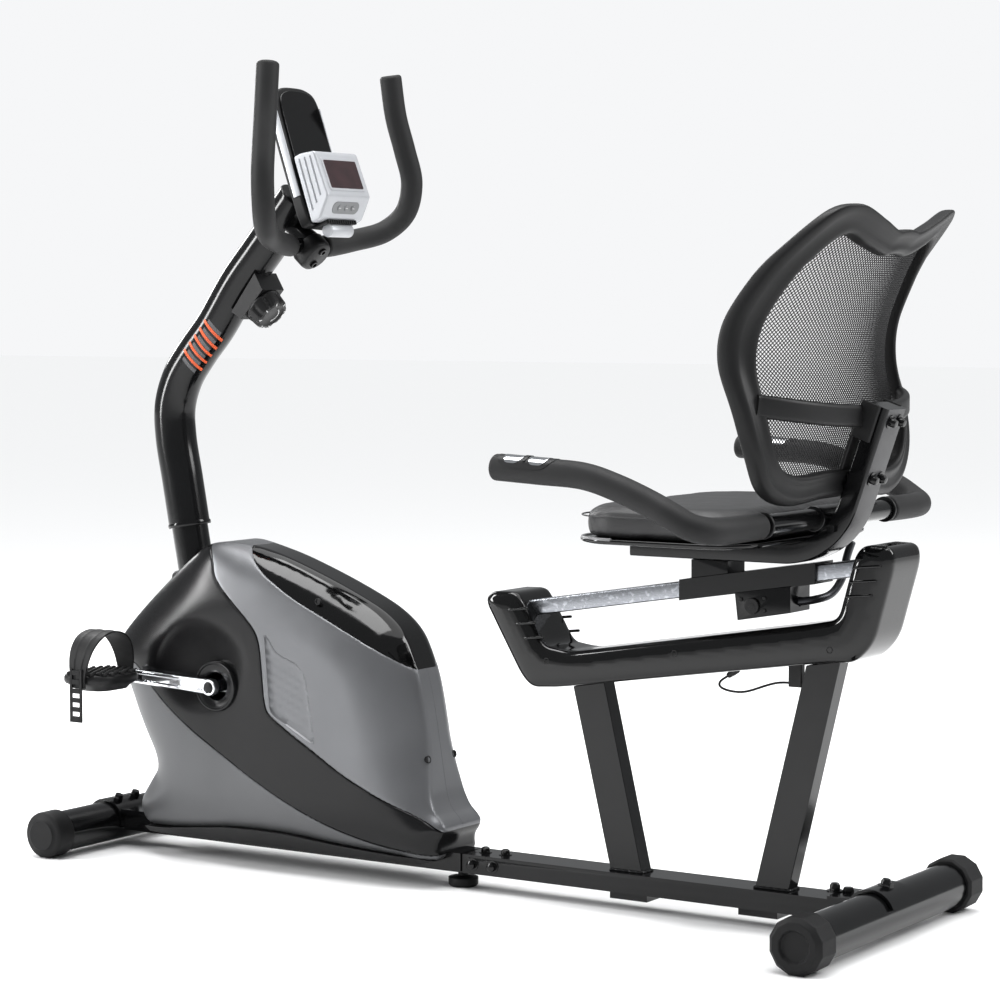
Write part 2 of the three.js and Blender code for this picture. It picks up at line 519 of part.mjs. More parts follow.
  // Flat belt: the outer tangent loop round both pulleys, less the same loop one belt inside.
  const loop = (grow) => {
    const big = PULLEY.r - 2 + grow;
    const small = PULLEY.small - 1 + grow;
    const dx = FLYWHEEL.x - CRANK.x;
    const dz = FLYWHEEL.z - CRANK.z;
    const heading = Math.atan2(dz, dx);
    const open = Math.acos((big - small) / Math.hypot(dx, dz));
    const shape = new THREE.Shape();
    shape.absarc(CRANK.x, CRANK.z, big, heading + open, heading + 2 * Math.PI - open, false);
    shape.absarc(FLYWHEEL.x, FLYWHEEL.z, small, heading - open, heading + open, false);
    return new THREE.Shape(shape.getPoints(11));
  };
  part('drive_belt', cut(acrossY(loop(3.4), -41, -33), acrossY(loop(1.4), -45, -30)), RUBBER);

  // Magnet arm: a hinged shoe that swings towards the flywheel's rim.
  const shoe = new THREE.Shape();
  const sweepFrom = THREE.MathUtils.degToRad(42);
  const sweepTo = THREE.MathUtils.degToRad(100);
  shoe.absarc(FLYWHEEL.x, FLYWHEEL.z, r + 14, sweepFrom, sweepTo, false);
  shoe.absarc(FLYWHEEL.x, FLYWHEEL.z, r + 6, sweepTo, sweepFrom, true);
  const yoke = acrossY(shoe, y0 - 6, y1 + 6);
  const hinge = (y) => [FLYWHEEL.x + 96, y, FLYWHEEL.z + 84];
  const hingeBoss = rod(hinge(y0 - 6), hinge(y1 + 6), 7, 12);
  part('magnet_arm', join(yoke, hingeBoss), STEEL);
}

// ---------------------------------------------------------------- drive covers
// Side-view outline of the covers, counter-clockwise from the foot of the nose.
const coverOutline = [
  [-1096, 31], [-640, 31], [-612, 40], [-619, 60], [-605, 74], [-605, 86], [-627, 104], [-636, 155],
  [-646, 218], [-656, 268], [-668, 300], [-684, 333], [-714, 358], [-753, 377], [-814, 402], [-895, 428],
  [-958, 438], [-990, 436], [-1028, 413], [-1092, 358], [-1130, 322], [-1149, 298], [-1152, 272],
  [-1136, 240], [-1112, 182], [-1080, 127], [-1095, 105], [-1114, 78], [-1116, 66]];
const topSeam = [
  [-950, 460], [-935, 440], [-904, 409], [-838, 373], [-779, 348], [-720, 320], [-690, 303], [-640, 268]];
const sideSeam = [
  [-1010, 460], [-972, 418], [-963, 394], [-888, 329], [-882, 320], [-874, 224], [-865, 212], [-784, 167],
  [-753, 148], [-694, 121], [-636, 97], [-600, 70], [-580, 66]];
const footSeam = [
  [-1180, 290], [-1094, 266], [-1062, 231], [-1006, 188], [-956, 160], [-889, 122], [-812, 87], [-753, 66],
  [-694, 52], [-640, 46], [-590, 44]];
const panTop = [[-1140, 37], [-1060, 41], [-950, 54], [-895, 56], [-840, 55], [-760, 47], [-600, 37]];

// Distance from (x, z) to the nearest edge of the outline above the floor line.
function edgeDistance(x, z) {
  let best = Infinity;
  for (let i = 2; i < coverOutline.length; i++) {
    const [ax, az] = coverOutline[i - 1];
    const [bx, bz] = coverOutline[i];
    const span = (bx - ax) ** 2 + (bz - az) ** 2;
    const t = THREE.MathUtils.clamp(((x - ax) * (bx - ax) + (z - az) * (bz - az)) / span, 0, 1);
    best = Math.min(best, Math.hypot(x - ax - t * (bx - ax), z - az - t * (bz - az)));
  }
  return best;
}

// Whether (x, z) lies within the covers' outline, by counting the edges above it.
function insideCovers(x, z) {
  let inside = false;
  coverOutline.forEach(([ax, az], i) => {
    const [bx, bz] = coverOutline[(i + 1) % coverOutline.length];
    if ((ax > x) !== (bx > x) && z < az + ((x - ax) * (bz - az)) / (bx - ax)) inside = !inside;
  });
  return inside;
}

// Half width of the covers' ridge at x: narrow behind, wide round the post and at the foot.
function ridgeAt(x, z) {
  const nose = 1 - THREE.MathUtils.smoothstep(x, -1010, -900);
  const foot = 1 - THREE.MathUtils.smoothstep(z, 90, 200);
  return SHROUD.ridge + (SHROUD.noseRidge - SHROUD.ridge) * Math.max(nose, foot);
}

// Half width of the covers at (x, z): a quarter round from the ridge out to the flat side.
function coverHalf(x, z) {
  const ridge = ridgeAt(x, z);
  if (!insideCovers(x, z)) return ridge;
  const t = 1 - Math.min(edgeDistance(x, z) / SHROUD.round, 1);
  return ridge + (SHROUD.half - ridge) * Math.sqrt(1 - t * t);
}

// A slab over the side view, symmetric about the middle plane, whose half width is given at each point.
function slab(halfAt) {
  const [x0, x1, z0, z1] = [-1170, -590, 20, 450];
  const geometry = new THREE.BoxGeometry(x1 - x0, 2, z1 - z0, 15, 1, 11);
  geometry.translate((x0 + x1) / 2, 0, (z0 + z1) / 2);
  const p = geometry.attributes.position;
  for (let i = 0; i < p.count; i++) p.setY(i, Math.sign(p.getY(i)) * halfAt(p.getX(i), p.getZ(i)));
  return toSolid(geometry);
}

function covers() {
  const outer = acrossY(coverOutline, -100, 100).intersect(slab(coverHalf));
  const insetOutline = shifted(coverOutline, SHROUD.wall, true);
  const inner = acrossY(insetOutline, -100, 100).intersect(slab((x, z) => coverHalf(x, z) - SHROUD.wall));
  const postHole = rod(postAt(COLLAR_Z - 90), postAt(COLLAR_Z + 90), POST.r + 9 + GAP, 20);
  const crankHole = rod([CRANK.x, -100, CRANK.z], [CRANK.x, 100, CRANK.z], SHROUD.crankHole, 18);
  const railHole = box(-1300, -560, -RAIL.half - GAP, RAIL.half + GAP, 0, RAIL.top + GAP);
  const saddleHole = box(-1300, -1090, -33, 33, 0, RAIL.top + 7);
  const shell = cut(outer, inner, postHole, crankHole, railHole, saddleHole,
    seamCut(topSeam), seamCut(sideSeam), seamCut(footSeam), seamCut(panTop));

  // The two sides of a seam: over and behind it, or under and in front of it.
  const above = (seam) => acrossY([...seam, [seam.at(-1)[0], 520], [seam[0][0], 520]], -100, 100);
  const below = (seam) => acrossY([
    ...seam, [-500, seam.at(-1)[1]], [-500, 0], [-1300, 0], [-1300, 520], [seam[0][0], 520]], -100, 100);
  const half = (y0, y1) => box(-1300, -500, y0, y1, 0, 500);
  const left = half(-100, -GAP / 2);

  part('top_cover', shell.intersect(above(topSeam)), GLOSS_BLACK);
  const panel = shell.intersect(below(topSeam)).intersect(above(sideSeam));
  pair('side_panel', panel.intersect(left), SILVER);
  const band = shell.intersect(below(sideSeam)).intersect(above(footSeam));
  pair('shroud', band.intersect(left), BAND_BLACK);
  part('foot_cover', shell.intersect(below(footSeam)).intersect(above(panTop)), FOOT_GREY);

  const underPan = acrossY([...panTop, [panTop.at(-1)[0], 0], [panTop[0][0], 0]], -100, 100);
  const postFootHole = box(POST.foot[0] - 50, POST.foot[0] + 50, -30, 30, 40, 60);
  const earHole = box(FLYWHEEL.x - 46, FLYWHEEL.x + 46, EAR.y0 - 4, EAR.y1 + 8, RAIL.top - 2, 60);
  const holes = [railHole, saddleHole, seamCut(panTop), postFootHole, earHole];
  part('bottom_pan', cut(outer.intersect(underPan), ...holes), BLACK_PLASTIC);
}

// ---------------------------------------------------------------- seat rail and seat
// Side-view outline of the rail housing: a beam with a horn turned up at each end.
const housingOutline = [
  [-433, 279], [-220, 311], [-60, 335], [-22, 340], [3, 364], [30, 462], [24, 476], [-8, 478], [-18, 466],
  [-44, 384], [-87, 379], [-419, 325], [-458, 330], [-492, 390], [-500, 396], [-534, 395], [-543, 385],
  [-489, 291], [-472, 277]];

// The pulse sensors' cable: it leaves a gland under the housing, hangs in one loop and goes into a clip.
const SENSOR = { r: 1.5, gland: [-211, 0, 305], glandRoot: [-197, 0, 314.3] };
const sensorLine = [
  [-211.25, 0, 304.83], [-214.6, 0, 302.6], [-218, 0, 300.4], [-220.9, 0, 298], [-222.6, 0, 295.2],
  [-222.3, 0, 292.3], [-219.6, 0, 289.9], [-215, 0, 288.1], [-209, 0, 286.9], [-202, 0, 286.2],
  [-194.5, 0, 286.2], [-187, 0, 287.2], [-179.5, 0, 289.1], [-172, 0, 291.6], [-164.5, 0, 294.4],
  [-157, 0, 297.1], [-149.5, 0, 299.5], [-142, 0, 301.3], [-135, 0, 302.2], [-129.5, 0, 302.5],
  [-125.3, 0, 302.5]];

function seatFrame() {
  const half = 44;
  const outer = acrossY(housingOutline, -half, half);
  const hollow = acrossY(shifted(housingOutline, 3, true), -half + 3, half - 3);
  const railSlot = acrossY(slopedStrip(-520, 20, -12, 12), -22, 22);
  const legHoles = [[-398, -26, 26], [-84, -26, 26]].map(([x, a, b]) => box(x + a, x + b, -14, 14, 250, 345));
  const gland = rod(SENSOR.glandRoot, SENSOR.gland, 3.5, 12);
  const clip = box(-125, -107, -5, 5, 298, 329.5);
  part('rail_cover', join(cut(outer, hollow, railSlot, ...legHoles), gland, clip), GLOSS_BLACK);
  part('sensor_cable', bent(sensorLine, SENSOR.r, 24, 8), RUBBER);

  part('seat_rail', acrossY(slopedStrip(SEAT_RAIL.x0, SEAT_RAIL.x1, -SEAT_RAIL.thick, SEAT_RAIL.thick),
    -SEAT_RAIL.half, SEAT_RAIL.half), RAIL_METAL);

  // Welded beam inside the housing, with an upright under each end of the rail.
  const beamZ = (x) => 300 + SLOPE * (x + 404);
  const [beamFront, beamRear] = [-455, -14];
  const beam = acrossY([
    [beamFront, beamZ(beamFront) - 2], [beamRear, beamZ(beamRear) - 2],
    [beamRear, beamZ(beamRear) + 17], [beamFront, beamZ(beamFront) + 17]], -20, 20);
  const underRail = (x) => [x, railZ(x) - SEAT_RAIL.thick - GAP];
  const frontUpright = acrossY([[-474, 291], [-446, 296], underRail(-482), underRail(-510)], -20, 20);
  const rearUpright = acrossY([[-38, 362], [-14, 362], underRail(-2), underRail(-21)], -20, 20);
  const legTops = cut(join(beam, frontUpright, rearUpright),
    acrossY([[-427.5 - GAP, 260], [-380 + GAP, 260], [-380 + GAP, 288], [-427.5 - GAP, 288]], -13, 13),
    acrossY([[-98, 260], [-50, 260], [-50, 336], [-98, 336]], -13, 13));
  part('seat_beam', legTops, BLACK_STEEL);
}

function carriage() {
  const { x0, x1, half, thick } = CARRIAGE;
  const sleeve = acrossY(slopedStrip(x0, x1, -thick, thick), -half, half);
  const bore = acrossY(slopedStrip(x0 - 10, x1 + 10, -SEAT_RAIL.thick - GAP, SEAT_RAIL.thick + GAP),
    -SEAT_RAIL.half - GAP, SEAT_RAIL.half + GAP);
  const riser = acrossY([
    [-251, railZ(-251) + thick - 1], [-200, railZ(-200) + thick - 1], [-200, 449.4], [-251, 449.4]], -22, 22);
  const lockBox = acrossY([
    [-188, railZ(-188) - thick + 1], [-112, railZ(-112) - thick + 1], [-112, 391], [-184, 378]], -26, 26);
  const lockBore = acrossY([[-181, 383], [-116, 394], [-116, 415], [-181, 405]], -22, 22);
  const leverHole = rod([-125, 0, 401], [-105, 0, 404], 6, 10);
  const boss = rod([-163, -30, 397], [-163, -25, 397], 9.5, 14);
  part('seat_carriage', cut(join(sleeve, riser, lockBox, boss), bore, lockBore, leverHole), BLACK_STEEL);

  // Release lever: a bent rod that rises on the rider's right, with a cam inside the box.
  const lever = bent([
    [-132, 0, 400], [-112, 0, 403], [-98, 8, 405], [-86, 32, 411], [-80, 50, 430], [-78, 58, 455],
    [-74, 64, 474]], 5, 22, 8);
  const cam = rod([-150, 0, 397.3], [-130, 0, 400.3], 8, 10);
  part('lock_lever', join(lever, cam), STEEL);
}

function seat() {
  const { x0, x1, half, z0, z1 } = SEAT;
  const plan = roundRect((x0 + x1) / 2, 0, (x1 - x0) / 2, half, 58);
  part('seat_cushion', upZ(plan, z0 + GAP, z1, 9), VINYL);
  const lip = roundRect((x0 + x1) / 2, 0, (x1 - x0) / 2 + 1.5, half + 1.5, 58);
  const belly = roundRect((x0 + x1) / 2 + 6, 0, (x1 - x0) / 2 - 26, half - 34, 40);
  const postNotch = box(-128, 0, -27, 27, 470, 490);
  part('seat_pan', cut(join(upZ(lip, 479, z0), upZ(belly, 475 + GAP, 480)), postNotch), GLOSS_BLACK);

  // Back post: a box section, flat under the seat, then a bend up behind it, open at both ends.
  const { thick, z, bendX, bendR, lean, top } = BACK_POST;
  const turn = THREE.MathUtils.degToRad(90 - lean);
  const centre = [bendX, z + bendR];
  const rise = (r) => [centre[0] + r * Math.sin(turn), centre[1] - r * Math.cos(turn)];
  const run = (p, height) => [p[0] + (height - p[1]) / Math.tan(turn), height];
  const section = (wall, past) => {
    const outerR = bendR - wall;
    const innerR = bendR - thick + wall;
    const shape = new THREE.Shape();
    shape.moveTo(BACK_POST.x0 - past, z + wall);
    shape.lineTo(bendX, z + wall);
    shape.absarc(centre[0], centre[1], outerR, -Math.PI / 2, -Math.PI / 2 + turn, false);
    shape.lineTo(...run(rise(outerR), top - 6 + past));
    shape.lineTo(...run(rise(innerR), top + 2 + past));
    shape.lineTo(...rise(innerR));
    shape.absarc(centre[0], centre[1], innerR, -Math.PI / 2 + turn, -Math.PI / 2, true);
    shape.lineTo(BACK_POST.x0 - past, z + thick - wall);
    return acrossY(shape, -BACK_POST.half + wall, BACK_POST.half - wall);
  };
  const post = cut(section(0, 0), section(BACK_POST.wall, 1));
  const bolts = [[626, 8], [626, -8], [569, 8], [569, -8]].map(([height, y]) => {
    const [x] = run(rise(bendR), height);
    return boltHead([x, y * 1.4, height], [Math.sin(turn), 0, -Math.cos(turn)], 6, 6);
  });
  part('back_post', join(post, ...bolts), BLACK_STEEL);
}

// ---------------------------------------------------------------- backrest
// Rear surface of the backrest at height z: its x on the middle plane and its wrap.
const spine = new THREE.SplineCurve([
  [500, -52], [560, -42], [610, -32], [650, -25], [700, -23], [750, -13], [800, 6], [840, 28], [890, 52]]
  .map((p) => new THREE.Vector2(p[0], p[1])));
function backX(y, z) {
  const t = THREE.MathUtils.clamp((z - 500) / 390, 0, 1);
  const wrap = BACK.wrap
    - (BACK.wrap - BACK.lowWrap) * (1 - THREE.MathUtils.smoothstep(t, 0.1, 0.65))
    - (BACK.wrap - BACK.topWrap) * THREE.MathUtils.smoothstep(t, 0.75, 1);
  return spine.getPoint(t).y - wrap * (y / BACK.wrapHalf) ** 2;
}

// A curved sheet between two depths in front of the rear surface, over the whole outline.
function backSheet(front, rear) {
  const [z0, z1, half] = [500, 890, 240];
  const geometry = new THREE.BoxGeometry(2, 2 * half, z1 - z0, 1, 9, 7);
  geometry.translate(0, 0, (z0 + z1) / 2);
  const p = geometry.attributes.position;
  for (let i = 0; i < p.count; i++) {
    const depth = p.getX(i) < 0 ? front : rear;
    p.setX(i, backX(p.getY(i), p.getZ(i)) - depth);
  }
  return toSolid(geometry);
}

// A closed outline through the right-hand points [y, z] and their mirror images.
function backOutline(points, divisions) {
  const ring = [...points, ...[...points].reverse().map((p) => [-p[0], p[1]])];
  const curve = new THREE.CatmullRomCurve3(ring.map((p) => vec([p[0], p[1], 0])), true, 'centripetal');
  return new THREE.Shape(curve.getPoints(divisions).slice(0, -1).map((p) => new THREE.Vector2(p.x, p.y)));
}

function backrest() {
  const rim = backOutline([
    [24, 849], [70, 862], [128, 878], [158, 870], [188, 818], [208, 760], [216, 700], [214, 640],
    [205, 590], [182, 548], [138, 529], [60, 533]], 28);
  const upper = backOutline([
    [24, 820], [80, 832], [122, 844], [152, 810], [176, 750], [185, 702], [181, 662], [120, 652],
    [40, 648]], 20);
  const lower = backOutline([
    [20, 622], [120, 624], [170, 622], [174, 600], [158, 574], [128, 564], [20, 567]], 16);
  const body = alongX(rim, -300, 100).intersect(backSheet(BACK.thick, 0));
  const lumbar = alongX(roundRect(0, 636, 205, 11, 8), -300, 100).intersect(backSheet(12, -8));
  const postClear = acrossY([
    [-60, 480], [40, 480], [40, 660], [backPostFront(660), 660], [backPostFront(480), 480]], -26, 26);
  const ring = cut(body, alongX(upper, -300, 100), alongX(lower, -300, 100));
  part('backrest_frame', cut(join(ring, lumbar), postClear), BLACK_PLASTIC);
  const cloth = (hole) => {
    const edge = hole.getPoints().map((p) => [p.x, p.y]);
    return alongX(shifted(edge, -1, true), -300, 100).intersect(backSheet(20, 17));
  };
  part('backrest_mesh', cloth(upper), MESH_CLOTH);
  part('lumbar_mesh', cut(cloth(lower), postClear), MESH_CLOTH);
}

// x of the back post's front face at height z, less the clearance.
function backPostFront(z) {
  const turn = THREE.MathUtils.degToRad(90 - BACK_POST.lean);
  const r = BACK_POST.bendR - BACK_POST.thick;
  const x = BACK_POST.bendX + r * Math.sin(turn);
  const height = BACK_POST.z + BACK_POST.bendR - r * Math.cos(turn);
  return x + (z - height) / Math.tan(turn) - GAP;
}

// ---------------------------------------------------------------- seat handlebar
const seatBarLine = [
  [-356, -300, 573], [-300, -300, 570], [-236, -300, 566], [-192, -300, 554], [-148, -300, 537],
  [-122, -300, 525], [-100, -295, 513], [-85, -280, 508], [-79, -255, 507],
  [SEAT_BAR.x, -170, SEAT_BAR.z]];

function seatHandlebar() {
  const left = seatBarLine;
  const across = [-85, 0, 85].map((y) => [SEAT_BAR.x, y, SEAT_BAR.z]);
  const all = [...left, ...across, ...[...left].reverse().map((p) => [p[0], -p[1], p[2]])];
  part('seat_handlebar', bentTube(all, SEAT_BAR.r, 34, 6), BLACK_STEEL);
  const foamLine = [[-361, -300, 573.3], ...left.slice(1), [SEAT_BAR.x, -128, SEAT_BAR.z]];
  const foam = bent(foamLine, SEAT_BAR.foam, 14, 8);
  const tip = rod([-358, -300, 573.1], [-353, -300, 572.8], SEAT_BAR.r + 1, 8);
  const trim = box(-200, 0, -SEAT_BAR.foamEnd, 0, 480, 545);
  pair('seat_grip', cut(foam, bent(all, SEAT_BAR.r + 0.6, 34, 6), tip, trim), FOAM);
  const plate = cut(
    rod([-342, -300, 572.2], [-282, -300, 569], SEAT_BAR.foam + 2, 16),
    rod([-352, -300, 572.8], [-272, -300, 568.4], SEAT_BAR.foam + 0.7, 16),
    box(-420, -280, -260, -200, 500, 571));
  pair('pulse_sensor', plate, CHROME);
}

baseFrame();
stabilizers();
mast();
handlebar();
consoleUnit();
tensionControl();
drive();
covers();
seatFrame();
carriage();
seat();
backrest();
seatHandlebar();

bike.position.x = -MIDDLE_X;

export default bike;
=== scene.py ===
"""Recumbent exercise bike: the finished surfaces, finishes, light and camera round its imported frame.

Side view sizes are millimetres from the rear stabiliser's axis: x runs towards the seat end, y to the
rider's right and z up from the floor. placed() turns them into the frame's metres.
"""

import logging
import math
from dataclasses import dataclass, field
from enum import Enum
from typing import Callable, Sequence

import bmesh
import bpy
import numpy as np
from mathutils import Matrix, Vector
from mathutils.geometry import delaunay_2d_cdt


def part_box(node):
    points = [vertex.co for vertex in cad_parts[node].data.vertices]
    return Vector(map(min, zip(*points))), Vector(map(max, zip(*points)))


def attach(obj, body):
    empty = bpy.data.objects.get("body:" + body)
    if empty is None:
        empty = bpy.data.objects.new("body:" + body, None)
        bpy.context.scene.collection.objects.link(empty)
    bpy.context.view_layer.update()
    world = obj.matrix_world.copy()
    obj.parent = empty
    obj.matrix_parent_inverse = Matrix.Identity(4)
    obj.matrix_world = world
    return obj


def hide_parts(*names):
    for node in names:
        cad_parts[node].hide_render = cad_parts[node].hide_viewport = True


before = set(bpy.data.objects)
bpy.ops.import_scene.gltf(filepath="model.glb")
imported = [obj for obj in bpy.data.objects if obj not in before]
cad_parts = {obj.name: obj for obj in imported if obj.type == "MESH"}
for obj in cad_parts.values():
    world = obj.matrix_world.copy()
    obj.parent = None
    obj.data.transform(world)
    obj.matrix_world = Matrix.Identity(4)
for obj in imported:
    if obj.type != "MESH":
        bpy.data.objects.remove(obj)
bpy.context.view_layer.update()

log = logging.getLogger("bike")

MM = 0.001
REAR_X = sum(corner.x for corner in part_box("rear_stabilizer")) / 2
Array = np.ndarray
Surface = tuple[Array, list]
Tree = bpy.types.NodeTree
Socket = bpy.types.NodeSocket
SLOPE = 0.16


class Side(Enum):
    """Which side of the machine a piece is on, with the sign of its y."""

    LEFT = -1
    RIGHT = 1

    @property
    def word(self) -> str:
        """The side's name in node names."""
        return self.name.lower()


# ---------------------------------------------------------------- surfaces
def placed(points: Array) -> Array:
    """Millimetres from the rear axis as metres in the frame."""
    return np.asarray(points, float) * MM + np.array([REAR_X, 0.0, 0.0])


def unit(vectors: Array) -> Array:
    """Vectors scaled to length one."""
    vectors = np.asarray(vectors, float)
    return vectors / np.maximum(np.linalg.norm(vectors, axis=-1, keepdims=True), 1e-12)


def distances(path: Array) -> Array:
    """The distance along a path from its start to each of its points."""
    return np.concatenate([[0], np.cumsum(np.linalg.norm(np.diff(path, axis=0), axis=1))])


def straight(start: Array, end: Array, count: int) -> Array:
    """Evenly spaced points from one point to another."""
    return start + (end - start) * np.linspace(0, 1, count)[:, None]


def smooth_line(points: Sequence, count: int, closed: bool = False) -> Array:
    """A smooth curve through points, evenly spaced.

    Each span is a cubic whose end slopes weigh the neighbouring chords by the roots of their lengths.

    Args:
        points: the points, in two or three dimensions.
        count: how many points the result has.
        closed: whether the curve joins its own start.

    Returns:
        The curve, count rows.
    """
    p = np.asarray(points, float)
    if closed:
        p = np.vstack([p[-2:], p, p[:3]])
    knots = np.concatenate([[0], np.cumsum(np.sqrt(np.linalg.norm(np.diff(p, axis=0), axis=1)))])
    slope = np.diff(p, axis=0) / np.diff(knots)[:, None]
    step = np.diff(knots)[:, None]
    inner = (slope[:-1] * step[1:] + slope[1:] * step[:-1]) / (step[1:] + step[:-1])
    tangent = np.vstack([slope[:1], inner, slope[-1:]])
    span = np.repeat(np.arange(len(p) - 1), 40)
    t = np.tile(np.linspace(0, 1, 40, endpoint=False), len(p) - 1)[:, None]
    h = step[span]
    dense = (
        (2 * t**3 - 3 * t**2 + 1) * p[span]
        + (t**3 - 2 * t**2 + t) * h * tangent[span]
        + (3 * t**2 - 2 * t**3) * p[span + 1]
        + (t**3 - t**2) * h * tangent[span + 1]
    )
    dense = dense[80:-120 + 1] if closed else np.vstack([dense, p[-1:]])
    run = distances(dense)
    at = np.linspace(0, run[-1], count + 1)[:-1] if closed else np.linspace(0, run[-1], count)
    return np.stack([np.interp(at, run, dense[:, k]) for k in range(p.shape[1])], axis=1)


def softened(points: Sequence, closed: bool = True, samples: int = 8) -> Array:
    """A corner by corner outline with every corner turned into an arc from edge middle to edge middle.

    Args:
        points: the outline's corners.
        closed: whether the outline is closed.
        samples: how many points each arc has.

    Returns:
        The outline's points.
    """
    p = np.asarray(points, float)
    before, after = np.roll(p, 1, 0), np.roll(p, -1, 0)
    t = np.linspace(0, 1, samples, endpoint=False)[None, :, None]
    start, end = (before + p)[:, None] / 2, (p + after)[:, None] / 2
    arcs = (1 - t) ** 2 * start + 2 * t * (1 - t) * p[:, None] + t**2 * end
    if closed:
        return arcs.reshape(-1, p.shape[1])
    return np.vstack([p[:1], arcs[1:-1].reshape(-1, p.shape[1]), (p[-2:-1] + p[-1:]) / 2, p[-1:]])


def spaced(points: Array, step: float, closed: bool = False) -> Array:
    """A polyline with points added so that no gap is wider than step, its own corners kept.

    Args:
        points: the polyline.
        step: the widest gap left.
        closed: whether it is closed.

    Returns:
        The points, with its own corners among them.
    """
    ends = np.vstack([points, points[:1]]) if closed else points
    parts = []
    for a, b in zip(ends[:-1], ends[1:]):
        n = max(1, int(math.ceil(np.linalg.norm(b - a) / step)))
        parts.append(a + (b - a) * np.linspace(0, 1, n, endpoint=False)[:, None])
    line = np.vstack(parts)
    return line if closed else np.vstack([line, points[-1:]])


def lattice(rows: int, columns: int, wrap_rows: bool, wrap_columns: bool) -> list:
    """Quads that join a grid of points, row by row.

    Args:
        rows: how many rows the grid has.
        columns: how many points a row has.
        wrap_rows: whether the last row joins the first.
        wrap_columns: whether each row is closed.

    Returns:
        The quads, as lists of four point numbers.
    """
    i = np.arange(rows if wrap_rows else rows - 1)[:, None]
    j = np.arange(columns if wrap_columns else columns - 1)[None, :]
    down, right = (i + 1) % rows, (j + 1) % columns
    quads = [i * columns + j, down * columns + j, down * columns + right, i * columns + right]
    return np.stack(quads, -1).reshape(-1, 4).tolist()


def swept(path: Array, profile: Array, up: Sequence[float], scale: Array | float = 1.0) -> Surface:
    """A closed profile carried along a path.

    Point (s, v) is path(s) + scale(s) * (profile_a(v) * side(s) + profile_b(v) * lift(s)), where side is
    across the path and up, and lift across the path and side.

    Args:
        path: the centre line.
        profile: the cross-section as [side, lift] pairs.
        up: a direction that the path never follows.
        scale: the profile's size along the path.

    Returns:
        Points and faces, closed by a flat face at each end.
    """
    path = np.asarray(path, float)
    tangent = unit(np.gradient(path, axis=0))
    side = unit(np.cross(np.asarray(up, float)[None, :], tangent))
    lift = np.cross(tangent, side)
    size = np.broadcast_to(np.asarray(scale, float), (len(path),))[:, None, None]
    ring = profile[None, :, :1] * side[:, None] + profile[None, :, 1:] * lift[:, None]
    points = (path[:, None] + size * ring).reshape(-1, 3)
    rows, columns = len(path), len(profile)
    faces = lattice(rows, columns, False, True)
    faces.append(list(range(columns)))
    faces.append(list(range((rows - 1) * columns, rows * columns)))
    return points, faces


def circle(radius: float, sides: int = 28) -> Array:
    """A round profile."""
    turn = np.linspace(0, 2 * np.pi, sides, endpoint=False)
    return radius * np.stack([np.cos(turn), np.sin(turn)], 1)


def squared(half_a: float, half_b: float, corner: float, steps: int = 5) -> Array:
    """A rectangle with round corners, as a profile.

    Args:
        half_a: half its width.
        half_b: half its height.
        corner: the radius of its corners.
        steps: how many points each corner has.

    Returns:
        The profile's points.
    """
    quarter = np.linspace(0, np.pi / 2, steps)
    parts = []
    for k, (a, b) in enumerate([(1, 1), (-1, 1), (-1, -1), (1, -1)]):
        turn = quarter + k * np.pi / 2
        centre = np.array([a * (half_a - corner), b * (half_b - corner)])
        parts.append(centre + corner * np.stack([np.cos(turn), np.sin(turn)], 1))
    return np.vstack(parts)


def tube(path: Array, radius: float, up: Sequence[float], edge: float = 0.0, sides: int = 28) -> Surface:
    """A round bar along a path, its two ends rounded over by edge: near an end the radius falls on an arc.

    Args:
        path: the centre line.
        radius: the bar's radius.
        up: a direction that the path never follows.
        edge: how far each end is rounded over.
        sides: how many points the cross-section has.

    Returns:
        The closed bar.
    """
    path = np.asarray(path, float)
    if edge <= 0:
        return swept(path, circle(radius, sides), up)
    run = distances(path)
    kept = (run > edge * 1.05) & (run < run[-1] - edge * 1.05)
    turn = np.linspace(0, np.pi / 2, 6)
    head, tail = unit(path[1] - path[0]), unit(path[-1] - path[-2])
    start = path[0] + head * (edge * (1 - np.cos(turn)))[:, None]
    end = path[-1] - tail * (edge * (1 - np.cos(turn)))[::-1][:, None]
    start_size = (radius - edge + edge * np.sin(turn)) / radius
    size = np.concatenate([start_size, np.ones(kept.sum()), start_size[::-1]])
    return swept(np.vstack([start, path[kept], end]), circle(radius, sides), up, size)


def turned(profile: Sequence, centre: Sequence, axis: Sequence, sides: int = 48) -> Surface:
    """A profile of [radius, height] pairs turned about an axis: point (h, a) is centre + height * axis
    + radius * (cos a * u + sin a * v). The profile starts and ends on the axis.

    Args:
        profile: [radius, height] pairs.
        centre: a point on the axis, where height is nought.
        axis: the axis.
        sides: how many points go round it.

    Returns:
        The turned surface.
    """
    p = np.asarray(profile, float)
    axis_v = unit(axis)
    u = unit(np.cross(axis_v, [0.0, 0.0, 1.0] if abs(axis_v[2]) < 0.9 else [1.0, 0.0, 0.0]))
    v = np.cross(axis_v, u)
    turn = np.linspace(0, 2 * np.pi, sides, endpoint=False)
    ring = np.cos(turn)[:, None] * u + np.sin(turn)[:, None] * v
    points = np.asarray(centre, float) + p[:, None, 1:] * axis_v + p[:, None, :1] * ring[None]
    return points.reshape(-1, 3), lattice(len(p), sides, False, True)


